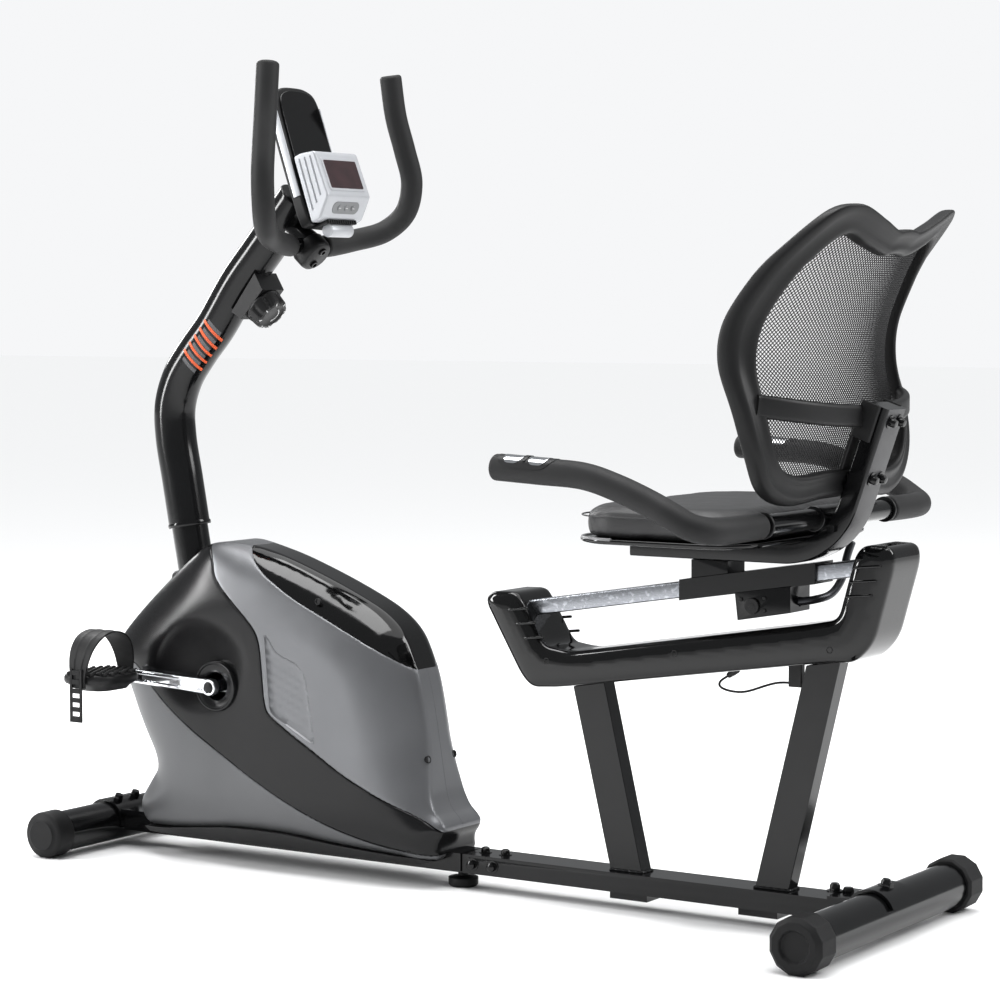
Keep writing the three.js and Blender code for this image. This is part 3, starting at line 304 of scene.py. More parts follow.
def plate(outline: Array, low: float, high: float, across: str = "y") -> Surface:
    """A flat outline given thickness: (x, z) carried along y, or (y, z) along x, or (x, y) along z.

    Args:
        outline: the flat outline.
        low: the level of one face.
        high: the level of the other face.
        across: the axis that the thickness runs along.

    Returns:
        The closed plate.
    """
    n = len(outline)
    a, b = outline[:, 0], outline[:, 1]
    layers = []
    for level in (low, high):
        flat = np.full(n, level)
        order = {"y": (a, flat, b), "x": (flat, a, b), "z": (a, b, flat)}[across]
        layers.append(np.stack(order, 1))
    faces = lattice(2, n, False, True)
    return np.vstack(layers), faces + [list(range(n)), list(range(n, 2 * n))]


def block(x0: float, x1: float, y0: float, y1: float, z0: float, z1: float) -> Surface:
    """A plain box between two corners."""
    return plate(np.array([[x0, z0], [x1, z0], [x1, z1], [x0, z1]], float), y0, y1)


def slab(front: Array, back: Array) -> Surface:
    """Two grids of points, one behind the other, joined round their rims into a closed slab.

    Args:
        front: the outer grid, rows by columns by three.
        back: the inner grid, of the same shape.

    Returns:
        The closed surface.
    """
    rows, columns = front.shape[:2]
    n = rows * columns
    quads = lattice(rows, columns, False, False)
    rim = [*range(columns)] + [columns * k + columns - 1 for k in range(1, rows)]
    rim += [(rows - 1) * columns + k for k in range(columns - 2, -1, -1)]
    rim += [columns * k for k in range(rows - 2, 0, -1)]
    walls = [[a, b, b + n, a + n] for a, b in zip(rim, rim[1:] + rim[:1])]
    faces = quads + [[k + n for k in quad[::-1]] for quad in quads] + walls
    return np.vstack([front.reshape(-1, 3), back.reshape(-1, 3)]), faces


def together(*surfaces: Surface) -> Surface:
    """Several surfaces as one list of points and faces."""
    points, faces, first = [], [], 0
    for p, f in surfaces:
        points.append(p)
        faces += [[k + first for k in face] for face in f]
        first += len(p)
    return np.vstack(points), faces


def mirrored(surface: Surface) -> Surface:
    """The surface on the other side of the machine."""
    return surface[0] * np.array([1.0, -1.0, 1.0]), surface[1]


def welded(points: Array, faces: Sequence) -> Surface:
    """Points that fall together made one, and faces that lose an edge dropped."""
    keys = np.round(points * 500).astype(np.int64)
    _, first, index = np.unique(keys, axis=0, return_index=True, return_inverse=True)
    index = index.reshape(-1)
    kept = []
    for face in faces:
        ring = [index[k] for k in face]
        ring = [k for n, k in enumerate(ring) if k != ring[n - 1]]
        if len(set(ring)) >= 3:
            kept.append([int(k) for k in ring])
    return points[first], kept


def vertex_normals(points: Array, faces: Array) -> Array:
    """Unit normals at the points of a triangle mesh: the sum of the crossing edges of each face there."""
    a, b, c = (points[faces[:, k]] for k in range(3))
    face = np.cross(b - a, c - a)
    total = np.zeros_like(points)
    for k in range(3):
        np.add.at(total, faces[:, k], face)
    return unit(total)


def shell(points: Array, faces: Array, wall: float) -> Surface:
    """A closed wall behind an open sheet of triangles: each point has a partner, wall behind it along
    its normal, and the open edges are joined by quads.

    Args:
        points: the sheet's points.
        faces: its triangles.
        wall: how thick the wall is.

    Returns:
        The closed wall.
    """
    normals = vertex_normals(points, faces)
    inner = points - wall * normals
    n = len(points)
    edges = np.vstack([faces[:, [0, 1]], faces[:, [1, 2]], faces[:, [2, 0]]])
    keys = np.sort(edges, 1)
    _, index, counts = np.unique(keys, axis=0, return_inverse=True, return_counts=True)
    open_edges = edges[counts[index.reshape(-1)] == 1]
    walls = np.stack([open_edges[:, 1], open_edges[:, 0], open_edges[:, 0] + n, open_edges[:, 1] + n], 1)
    return np.vstack([points, inner]), faces.tolist() + (faces[:, ::-1] + n).tolist() + walls.tolist()


# ---------------------------------------------------------------- pieces
def add_piece(name: str, surface: Surface, sharp: float = 40.0) -> bpy.types.Object:
    """Puts a surface into the scene as one object, its faces turned outwards together.

    Args:
        name: the piece's name.
        surface: points in millimetres, and faces.
        sharp: edges steeper than this many degrees stay crisp.

    Returns:
        The object, at the origin.
    """
    points, faces = surface
    mesh = bpy.data.meshes.new(name)
    mesh.from_pydata(placed(points).tolist(), [], faces)
    work = bmesh.new()
    work.from_mesh(mesh)
    bmesh.ops.remove_doubles(work, verts=work.verts, dist=2e-6)
    bmesh.ops.dissolve_degenerate(work, dist=1e-7, edges=work.edges)
    bmesh.ops.recalc_face_normals(work, faces=work.faces)
    work.to_mesh(mesh)
    work.free()
    mesh.shade_smooth()
    mesh.set_sharp_from_angle(angle=math.radians(sharp))
    piece = bpy.data.objects.new(name, mesh)
    bpy.context.scene.collection.objects.link(piece)
    return piece


def eased(piece: bpy.types.Object, width: float, segments: int = 3, angle: float = 35.0) -> bpy.types.Object:
    """Rounds a piece's hard edges by a width in millimetres.

    Args:
        piece: the piece.
        width: the rounding's width.
        segments: how many steps it has.
        angle: edges steeper than this many degrees are rounded.

    Returns:
        The same piece.
    """
    bevel = piece.modifiers.new("edges", "BEVEL")
    bevel.width = width * MM
    bevel.segments = segments
    bevel.limit_method = "ANGLE"
    bevel.angle_limit = math.radians(angle)
    bevel.harden_normals = True
    return piece


def refined(node: str, width: float = 1.0, sharp: float = 40.0, segments: int = 2) -> bpy.types.Object:
    """A CAD node's own shape as a piece with its flat faces joined and its edges rounded.

    Args:
        node: the CAD node.
        width: the rounding of the edges in millimetres, or 0 for none.
        sharp: edges steeper than this stay crisp, in degrees.
        segments: how many steps the rounding has.

    Returns:
        The new piece.
    """
    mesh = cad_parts[node].data.copy()
    mesh.materials.clear()
    mesh.name = f"{node}_body"
    work = bmesh.new()
    work.from_mesh(mesh)
    bmesh.ops.remove_doubles(work, verts=work.verts, dist=2e-6)
    bmesh.ops.dissolve_limit(work, angle_limit=math.radians(1.2), verts=work.verts, edges=work.edges)
    work.to_mesh(mesh)
    work.free()
    mesh.shade_smooth()
    mesh.set_sharp_from_angle(angle=math.radians(sharp))
    piece = bpy.data.objects.new(f"{node}_body", mesh)
    bpy.context.scene.collection.objects.link(piece)
    return eased(piece, width, segments, sharp) if width > 0 else piece


# ---------------------------------------------------------------- finishes
@dataclass(frozen=True)
class Finish:
    """A surface finish: a shader whose colour and roughness wander a little over the surface.

    Attributes:
        name: the material's name.
        slot: the record's slot that it belongs to; not used in this script.
        color: the middle colour.
        roughness: the middle roughness.
        metallic: 0 or 1, or between for metallic lacquer.
        spread: how far the brightness wanders, as a share.
        patch: the size of the wandering patches, in cells per metre.
        rough_spread: how far the roughness wanders.
        bump: the height of the fine grain, in millimetres.
        grain: the fine grain's cells per metre.
        coat: the weight of a clear coat.
        specular: the specular level.
        sheen: the weight of a soft sheen.
    """

    name: str
    slot: str
    color: tuple[float, float, float]
    roughness: float
    metallic: float = 0.0
    spread: float = 0.08
    patch: float = 14.0
    rough_spread: float = 0.05
    bump: float = 0.0
    grain: float = 900.0
    coat: float = 0.0
    specular: float = 0.5
    sheen: float = 0.0

    def material(self) -> bpy.types.Material:
        """The finish as a material, made once."""
        found = bpy.data.materials.get(self.name)
        if found:
            return found
        made = bpy.data.materials.new(self.name)
        made.use_nodes = True
        tree = made.node_tree
        shader = tree.nodes["Principled BSDF"]
        shader.inputs["Metallic"].default_value = self.metallic
        shader.inputs["Coat Weight"].default_value = self.coat
        shader.inputs["Coat Roughness"].default_value = 0.06
        shader.inputs["Specular IOR Level"].default_value = self.specular
        shader.inputs["Sheen Weight"].default_value = self.sheen
        place = tree.nodes.new("ShaderNodeTexCoord").outputs["Object"]
        self.paint(tree, shader, place)
        self.roughen(tree, shader, place)
        self.emboss(tree, shader, place)
        return made

    def noise(self, tree: Tree, place: Socket, scale: float, detail: float = 3.0) -> Socket:
        """A soft noise over the surface, as a factor."""
        node = tree.nodes.new("ShaderNodeTexNoise")
        node.inputs["Scale"].default_value = scale
        node.inputs["Detail"].default_value = detail
        tree.links.new(place, node.inputs["Vector"])
        return node.outputs["Fac"]

    def ramp(self, tree: Tree, factor: Socket, low: Sequence, high: Sequence, start: float = 0.3,
             end: float = 0.7) -> Socket:
        """Two colours blended by a factor."""
        node = tree.nodes.new("ShaderNodeValToRGB")
        node.color_ramp.elements[0].position = start
        node.color_ramp.elements[1].position = end
        node.color_ramp.elements[0].color = (*low, 1)
        node.color_ramp.elements[1].color = (*high, 1)
        tree.links.new(factor, node.inputs["Fac"])
        return node.outputs["Color"]

    def shades(self) -> tuple:
        """The darker and the lighter colour of the wandering."""
        low = tuple(c * (1 - self.spread) for c in self.color)
        high = tuple(min(1.0, c * (1 + self.spread)) for c in self.color)
        return low, high

    def paint(self, tree: Tree, shader: bpy.types.Node, place: Socket) -> None:
        """The base colour: two shades blended by a soft noise."""
        low, high = self.shades()
        colour = self.ramp(tree, self.noise(tree, place, self.patch), low, high)
        tree.links.new(colour, shader.inputs["Base Color"])

    def roughen(self, tree: Tree, shader: bpy.types.Node, place: Socket) -> None:
        """The roughness: a noise mapped to a small range round the middle value."""
        node = tree.nodes.new("ShaderNodeMapRange")
        node.inputs["To Min"].default_value = max(0.02, self.roughness - self.rough_spread)
        node.inputs["To Max"].default_value = min(1.0, self.roughness + self.rough_spread)
        tree.links.new(self.noise(tree, place, self.patch * 3, 5.0), node.inputs["Value"])
        tree.links.new(node.outputs["Result"], shader.inputs["Roughness"])

    def emboss(self, tree: Tree, shader: bpy.types.Node, place: Socket) -> None:
        """The fine grain, as bump."""
        if self.bump <= 0:
            return
        node = tree.nodes.new("ShaderNodeBump")
        node.inputs["Strength"].default_value = 0.6
        node.inputs["Distance"].default_value = self.bump * MM
        tree.links.new(self.height(tree, place), node.inputs["Height"])
        tree.links.new(node.outputs["Normal"], shader.inputs["Normal"])

    def height(self, tree: Tree, place: Socket) -> Socket:
        """The height of the grain: a fine noise."""
        return self.noise(tree, place, self.grain, 4.0)

    def dress(self, piece: bpy.types.Object) -> None:
        """Gives a piece this finish."""
        piece.data.materials.clear()
        piece.data.materials.append(self.material())


@dataclass(frozen=True)
class Brushed(Finish):
    """Metal with drawn lines and scuffs along x."""

    scuffs: float = 0.5

    def paint(self, tree: Tree, shader: bpy.types.Node, place: Socket) -> None:
        """The base colour: long streaks, with a few bright scuffs laid over them."""
        stretch = tree.nodes.new("ShaderNodeMapping")
        stretch.inputs["Scale"].default_value = (0.12, 1.0, 1.0)
        tree.links.new(place, stretch.inputs["Vector"])
        low, high = self.shades()
        lines = self.noise(tree, stretch.outputs["Vector"], 900.0, 4.0)
        streaks = self.ramp(tree, lines, low, high, 0.35, 0.65)
        cloud = self.ramp(tree, self.noise(tree, place, 160.0, 8.0), (0, 0, 0), (1, 1, 1), 0.56, 0.62)
        mix = tree.nodes.new("ShaderNodeMix")
        mix.data_type = "RGBA"
        mix.inputs["B"].default_value = (*(min(1.0, c * (1 + self.scuffs)) for c in self.color), 1)
        tree.links.new(cloud, mix.inputs["Factor"])
        tree.links.new(streaks, mix.inputs["A"])
        tree.links.new(mix.outputs["Result"], shader.inputs["Base Color"])


@dataclass(frozen=True)
class Foam(Finish):
    """Closed cell foam: small round pits."""

    def height(self, tree: Tree, place: Socket) -> Socket:
        """The height of the grain: distance to the nearest of many scattered cell centres."""
        node = tree.nodes.new("ShaderNodeTexVoronoi")
        node.inputs["Scale"].default_value = self.grain
        tree.links.new(place, node.inputs["Vector"])
        return node.outputs["Distance"]


@dataclass(frozen=True)
class Ribbed(Finish):
    """Vinyl with fine sewn looking ribs that run along x."""

    ribs: float = 140.0

    def height(self, tree: Tree, place: Socket) -> Socket:
        """The height of the grain: waves across y, with a leather noise added to them."""
        wave = tree.nodes.new("ShaderNodeTexWave")
        wave.bands_direction = "Y"
        wave.inputs["Scale"].default_value = self.ribs / (2 * math.pi) * 1.0
        wave.inputs["Distortion"].default_value = 0.0
        tree.links.new(place, wave.inputs["Vector"])
        add = tree.nodes.new("ShaderNodeMath")
        add.operation = "MULTIPLY_ADD"
        add.inputs[1].default_value = 0.5
        tree.links.new(self.noise(tree, place, self.grain, 4.0), add.inputs[0])
        tree.links.new(wave.outputs["Fac"], add.inputs[2])
        return add.outputs["Value"]


POWDER = Finish("gloss_powder_coat", "black_steel", (0.0040, 0.0041, 0.0045), 0.15, spread=0.2, specular=0.42)
# painted light: a lighter colour for the lit rear face of the same black powder-coated back post
POST_LIT_FACE_PAINT = Finish("painted_light_post_face", "black_steel", (0.05, 0.05, 0.052), 0.42, spread=0.15)
CHROME = Finish("bright_chrome", "chrome", (0.66, 0.67, 0.69), 0.10, 1.0, rough_spread=0.03)
STEEL = Finish("machined_steel", "steel", (0.42, 0.43, 0.45), 0.32, 1.0)
LEVER_STEEL = Finish("dark_lever_steel", "steel", (0.07, 0.072, 0.078), 0.3, 0.6)
RAIL = Brushed("scuffed_rail", "rail_metal", (0.30, 0.31, 0.33), 0.26, 1.0, spread=0.12)
GLOSS = Finish("piano_black", "gloss_black", (0.0028, 0.0028, 0.003), 0.08, spread=0.15, specular=0.5)
BAND = Finish("charcoal_band", "band_black", (0.007, 0.007, 0.0075), 0.24, bump=0.02, grain=1500, spread=0.06,
              specular=0.35)
SILVER = Finish("silver_lacquer", "silver_panel", (0.165, 0.168, 0.175), 0.36, 0.6, spread=0.03)
FOOT = Finish("grey_lacquer", "foot_grey", (0.118, 0.120, 0.124), 0.42, 0.45, spread=0.03)
PLASTIC = Finish("grained_black_plastic", "black_plastic", (0.009, 0.009, 0.0095), 0.42, bump=0.03, grain=1400,
                 specular=0.35)
BACK_PLASTIC = Finish("backrest_plastic", "black_plastic", (0.013, 0.013, 0.0135), 0.44, bump=0.05,
                      grain=1300, specular=0.3)
RUBBER = Finish("soft_rubber", "rubber", (0.008, 0.008, 0.0085), 0.58, bump=0.03, grain=1000, specular=0.3)
FOAM = Foam("grip_foam", "foam", (0.020, 0.020, 0.0205), 0.60, bump=0.12, grain=700, spread=0.12,
            specular=0.3)
VINYL = Ribbed("ribbed_vinyl", "vinyl", (0.030, 0.030, 0.031), 0.46, bump=0.25, grain=900, spread=0.1)
CLOTH = Finish("mesh_yarn", "mesh_cloth", (0.012, 0.012, 0.013), 0.7, bump=0.05, grain=2500)
CONSOLE_SILVER = Finish("silver_moulding", "console_silver", (0.44, 0.45, 0.47), 0.33, 0.25, spread=0.03)
KEYPAD = Finish("grey_keypad", "console_silver", (0.20, 0.205, 0.21), 0.42)
LENS = Finish("tinted_window", "lens", (0.030, 0.012, 0.014), 0.10, coat=0.8, spread=0.3, patch=45)
# painted highlight: grey for the light caught along the gloss dish's rolled front lip
DISH_LIP_HIGHLIGHT = Finish("painted_lip_highlight", "gloss_black", (0.20, 0.20, 0.205), 0.35)
STRIPE = Finish("orange_stripe", "black_steel", (0.72, 0.12, 0.035), 0.4)
STRIPE_GREY = Finish("grey_stripe", "black_steel", (0.11, 0.11, 0.115), 0.4)
INLAY = Finish("white_inlay", "black_plastic", (0.55, 0.55, 0.55), 0.4)


def fitted(piece: bpy.types.Object, finish: Finish, body: str, *nodes: str) -> bpy.types.Object:
    """Finishes a piece, sets it on its body and says which CAD nodes it stands for.

    Args:
        piece: the object.
        finish: its finish.
        body: the CAD body that it moves with.
        nodes: the CAD nodes that it replaces.

    Returns:
        The same object.
    """
    finish.dress(piece)
    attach(piece, body)
    if nodes:
        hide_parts(*nodes)
    log.info("made %s on %s", piece.name, body)
    return piece


def kept(node: str, finish: Finish, body: str, width: float = 1.0) -> bpy.types.Object:
    """A CAD node's shape, refined, finished and set on its body."""
    return fitted(refined(node, width), finish, body, node)


# ---------------------------------------------------------------- crowned mouldings
def crossings(polygon: Array, line: Array) -> list:
    """Where an open line crosses a polygon.

    Args:
        polygon: the closed outline.
        line: the open polyline.

    Returns:
        Triples of the place along the line, the place along the polygon and the point.
    """
    found = []
    nxt = np.roll(polygon, -1, 0)
    for k, (a, b) in enumerate(zip(line[:-1], line[1:])):
        d, e = b - a, nxt - polygon
        cross = d[0] * e[:, 1] - d[1] * e[:, 0]
        with np.errstate(divide="ignore", invalid="ignore"):
            w = polygon - a
            t = (w[:, 0] * e[:, 1] - w[:, 1] * e[:, 0]) / cross
            u = (w[:, 0] * d[1] - w[:, 1] * d[0]) / cross
        for i in np.flatnonzero((t >= 0) & (t < 1) & (u >= 0) & (u < 1)):
            found.append((k + t[i], i + u[i], a + t[i] * d))
    return sorted(found, key=lambda row: row[0])


def stretch(polygon: Array, start: float, end: float) -> Array:
    """A closed outline's points after one place on it and up to another, both counted in points."""
    first = int(math.floor(start))
    count = (int(math.floor(end)) - first) % len(polygon)
    return polygon[(first + 1 + np.arange(count)) % len(polygon)]


def split(polygon: Array, line: Array) -> tuple[Array, Array]:
    """Cuts a polygon in two along a line that enters it once and leaves it once.

    Args:
        polygon: the closed outline.
        line: the open polyline, ending outside on both sides.

    Returns:
        The two pieces: first the one with the outline after the line's way out.
    """
    rows = crossings(polygon, line)
    (s0, u0, p0), (s1, u1, p1) = rows[0], rows[-1]
    inner = line[int(math.floor(s0)) + 1 : int(math.floor(s1)) + 1]
    first = np.vstack([[p0], inner, [p1], stretch(polygon, u1, u0)])
    second = np.vstack([[p1], inner[::-1], [p0], stretch(polygon, u0, u1)])
    return first, second


def inside(points: Array, polygon: Array) -> Array:
    """Whether each point is in a polygon, by counting the edges beyond it."""
    x, z = points[:, 0, None], points[:, 1, None]
    a, b = polygon, np.roll(polygon, -1, 0)
    spans = (a[:, 1] > z) != (b[:, 1] > z)
    rise = np.where(np.abs(b[:, 1] - a[:, 1]) < 1e-12, 1e-12, b[:, 1] - a[:, 1])
    beyond = x < a[:, 0] + (z - a[:, 1]) * (b[:, 0] - a[:, 0]) / rise
    return (spans & beyond).sum(1) % 2 == 1


def edge_distance(points: Array, line: Array) -> Array:
    """Distance from each point to a closed polyline.

    Args:
        points: the points.
        line: the polyline.

    Returns:
        One distance for each point.
    """
    span = np.roll(line, -1, 0) - line
    t = ((points[:, None] - line) * span).sum(-1) / np.maximum((span**2).sum(-1), 1e-12)
    near = line + np.clip(t, 0, 1)[..., None] * span
    return np.linalg.norm(points[:, None] - near, axis=-1).min(1)


@dataclass
class Crown:
    """A moulding seen from its side: the half width at each point of the side view.

    The half width is the ridge at the outline and rises to the full half as
    ridge + (half - ridge) * (1 - (1 - d / reach) ** 2) ** power, where d is a smoothed distance to the
    outline: the minus third power of the outline's summed inverse fourth powers.
    """

    outline: Array
    ridge: float | Callable[[Array], Array]
    half: float
    reach: float
    power: float = 0.8
    relief: Callable[[Array], Array] | None = None
    wall: float = 2.5

    def depth(self, points: Array) -> Array:
        """The smoothed distance of each point from the outline."""
        a, b = self.outline, np.roll(self.outline, -1, 0)
        along = unit(b - a)
        start = ((a - points[:, None]) * along).sum(-1)
        end = ((b - points[:, None]) * along).sum(-1)
        off = np.abs((points[:, None, 0] - a[:, 0]) * along[:, 1] - (points[:, None, 1] - a[:, 1]) * along[:, 0])
        off = np.maximum(off, 0.02)
        sums = [s / (2 * off**2 * (s**2 + off**2)) + np.arctan(s / off) / (2 * off**3) for s in (start, end)]
        total = np.abs(sums[1] - sums[0]).sum(1)
        return (total / (np.pi / 2)) ** (-1 / 3)

    def ridge_of(self, points: Array) -> Array:
        """Half the ridge's width at each point of the side view."""
        return self.ridge(points) if callable(self.ridge) else np.full(len(points), self.ridge)

    def half_width(self, points: Array) -> Array:
        """The half width at each point of the side view."""
        t = 1 - np.clip(self.depth(points) / self.reach, 0, 1)
        ridge = self.ridge_of(points)
        width = ridge + (self.half - ridge) * (1 - t**2) ** self.power
        return width - self.relief(points) if self.relief else width

    def sheet(self, region: Array, holes: Sequence[Array], step: float, extra: Sequence[Array] = ()) -> tuple:
        """A side view region as triangles, fine near its outline and its seams.

        Args:
            region: the region's outline.
            holes: outlines of openings in it.
            step: the spacing of the points.
            extra: closed lines that the triangles follow.

        Returns:
            Side view points, triangles, and whether each point is on the moulding's own outline.
        """
        edge = spaced(region, step * 0.6, True)
        rims = [spaced(h, step * 0.5, True) for h in holes]
        lines = [spaced(e, step * 0.5, True) for e in extra]
        low, high = edge.min(0), edge.max(0)
        xs = np.arange(low[0], high[0], step)
        zs = np.arange(low[1], high[1], step * 0.87)
        grid = np.stack(np.meshgrid(xs, zs, indexing="ij"), -1)
        grid[:, 1::2, 0] += step / 2
        parts = [grid.reshape(-1, 2)]
        tangent = unit(np.roll(edge, -1, 0) - np.roll(edge, 1, 0))
        normal = np.stack([-tangent[:, 1], tangent[:, 0]], 1)
        rows = (0.8, 2.2, 4.5, 8.0)
        fringe = []
        for inset in rows:
            for sign in (-1, 1):
                moved = edge + sign * inset * normal
                good = inside(moved, edge)
                good[good] = edge_distance(moved[good], edge) > inset * 0.93
                fringe.append(moved[good])
        body = parts[0][inside(parts[0], edge)]
        body = body[edge_distance(body, edge) > rows[-1] + step * 0.45]
        free = np.vstack([body, *fringe])
        for loop in [*rims, *lines]:
            free = free[edge_distance(free, loop) > step * 0.3]
        for rim in rims:
            free = free[~inside(free, rim)]
        loops = [edge, *rims, *lines]
        fixed = np.vstack(loops)
        edges, first = [], 0
        for loop in loops:
            n = len(loop)
            edges += [(first + k, first + (k + 1) % n) for k in range(n)]
            first += n
        points = np.vstack([fixed, free])
        made = delaunay_2d_cdt([Vector(p) for p in points.tolist()], edges, [], 0, 1e-4)
        flat = np.array([tuple(v) for v in made[0]])
        triangles = np.array([f for f in made[2] if len(f) == 3])
        middle = flat[triangles].mean(1)
        keep = inside(middle, edge)
        for rim in rims:
            keep &= ~inside(middle, rim)
        triangles = triangles[keep]
        on_outline = edge_distance(flat, self.outline) < 0.01
        return flat, triangles, on_outline

    def moulding(self, region: Array, holes: Sequence[Array], step: float, sides: Sequence[Side],
                 extra: Sequence[Array] = ()) -> Surface:
        """One moulding: its side sheets, the strip across its ridge, and a wall behind them.

        Args:
            region: the moulding's side view.
            holes: openings in its sides.
            step: the spacing of its points.
            sides: one side for a half moulding, or both.
            extra: lines that its triangles follow.

        Returns:
            The closed surface.
        """
        flat, triangles, on_outline = self.sheet(region, holes, step, extra)
        width = np.where(on_outline, self.ridge_of(flat), self.half_width(flat))
        seam = spaced(region, 1.0, True)
        seam = seam[edge_distance(seam, self.outline) > 0.5]
        if len(seam):
            near = np.full(len(flat), 99.0)
            close = np.flatnonzero(~on_outline)
            near[close] = np.sqrt(((flat[close, None] - seam[None]) ** 2).sum(-1)).min(1)
            roll = 1.6
            drop = roll - np.sqrt(roll**2 - (roll - np.minimum(near, roll)) ** 2)
            width = width - np.where(near < roll, drop, 0)
        keys = np.sort(np.vstack([triangles[:, [0, 1]], triangles[:, [1, 2]], triangles[:, [2, 0]]]), 1)
        uniq, counts = np.unique(keys, axis=0, return_counts=True)
        rim = uniq[(counts == 1) & on_outline[uniq].all(1)]
        surfaces = []
        for side in sides:
            sheet = np.stack([flat[:, 0], side.value * width, flat[:, 1]], 1)
            surfaces.append((sheet, triangles.tolist()))
            target = 0.15 if len(sides) == 1 else 0.0
            share = np.linspace(0, 1, 8)
            a, b = flat[rim[:, 0]], flat[rim[:, 1]]
            across_a, across_b = (side.value * (self.ridge_of(end)[:, None] * (1 - share) + target * share)
                                  for end in (a, b))
            for k in range(len(share) - 1):
                n = len(a)
                corners = [
                    np.stack([a[:, 0], across_a[:, k], a[:, 1]], 1),
                    np.stack([b[:, 0], across_b[:, k], b[:, 1]], 1),
                    np.stack([b[:, 0], across_b[:, k + 1], b[:, 1]], 1),
                    np.stack([a[:, 0], across_a[:, k + 1], a[:, 1]], 1),
                ]
                ids = np.arange(n)
                quads = np.vstack([
                    np.stack([ids, ids + n, ids + 2 * n], 1), np.stack([ids, ids + 2 * n, ids + 3 * n], 1)])
                surfaces.append((np.vstack(corners), quads.tolist()))
        points, faces = welded(*together(*surfaces))
        return shell(points, turned_out(points, np.array(faces)), self.wall)


def turned_out(points: Array, triangles: Array) -> Array:
    """Triangles of an open sheet, all turned one way, away from the machine's middle."""
    work = bmesh.new()
    corners = [work.verts.new(p) for p in points.tolist()]
    work.verts.index_update()
    for tri in triangles.tolist():
        if len(set(tri)) == 3:
            try:
                work.faces.new([corners[k] for k in tri])
            except ValueError:
                continue
    bmesh.ops.recalc_face_normals(work, faces=work.faces)
    faces = np.array([[v.index for v in f.verts] for f in work.faces])
    work.free()
    a, b, c = (points[faces[:, k]] for k in range(3))
    out = (np.cross(b - a, c - a)[:, 1] * (a + b + c)[:, 1]).sum()
    return faces if out > 0 else faces[:, ::-1]


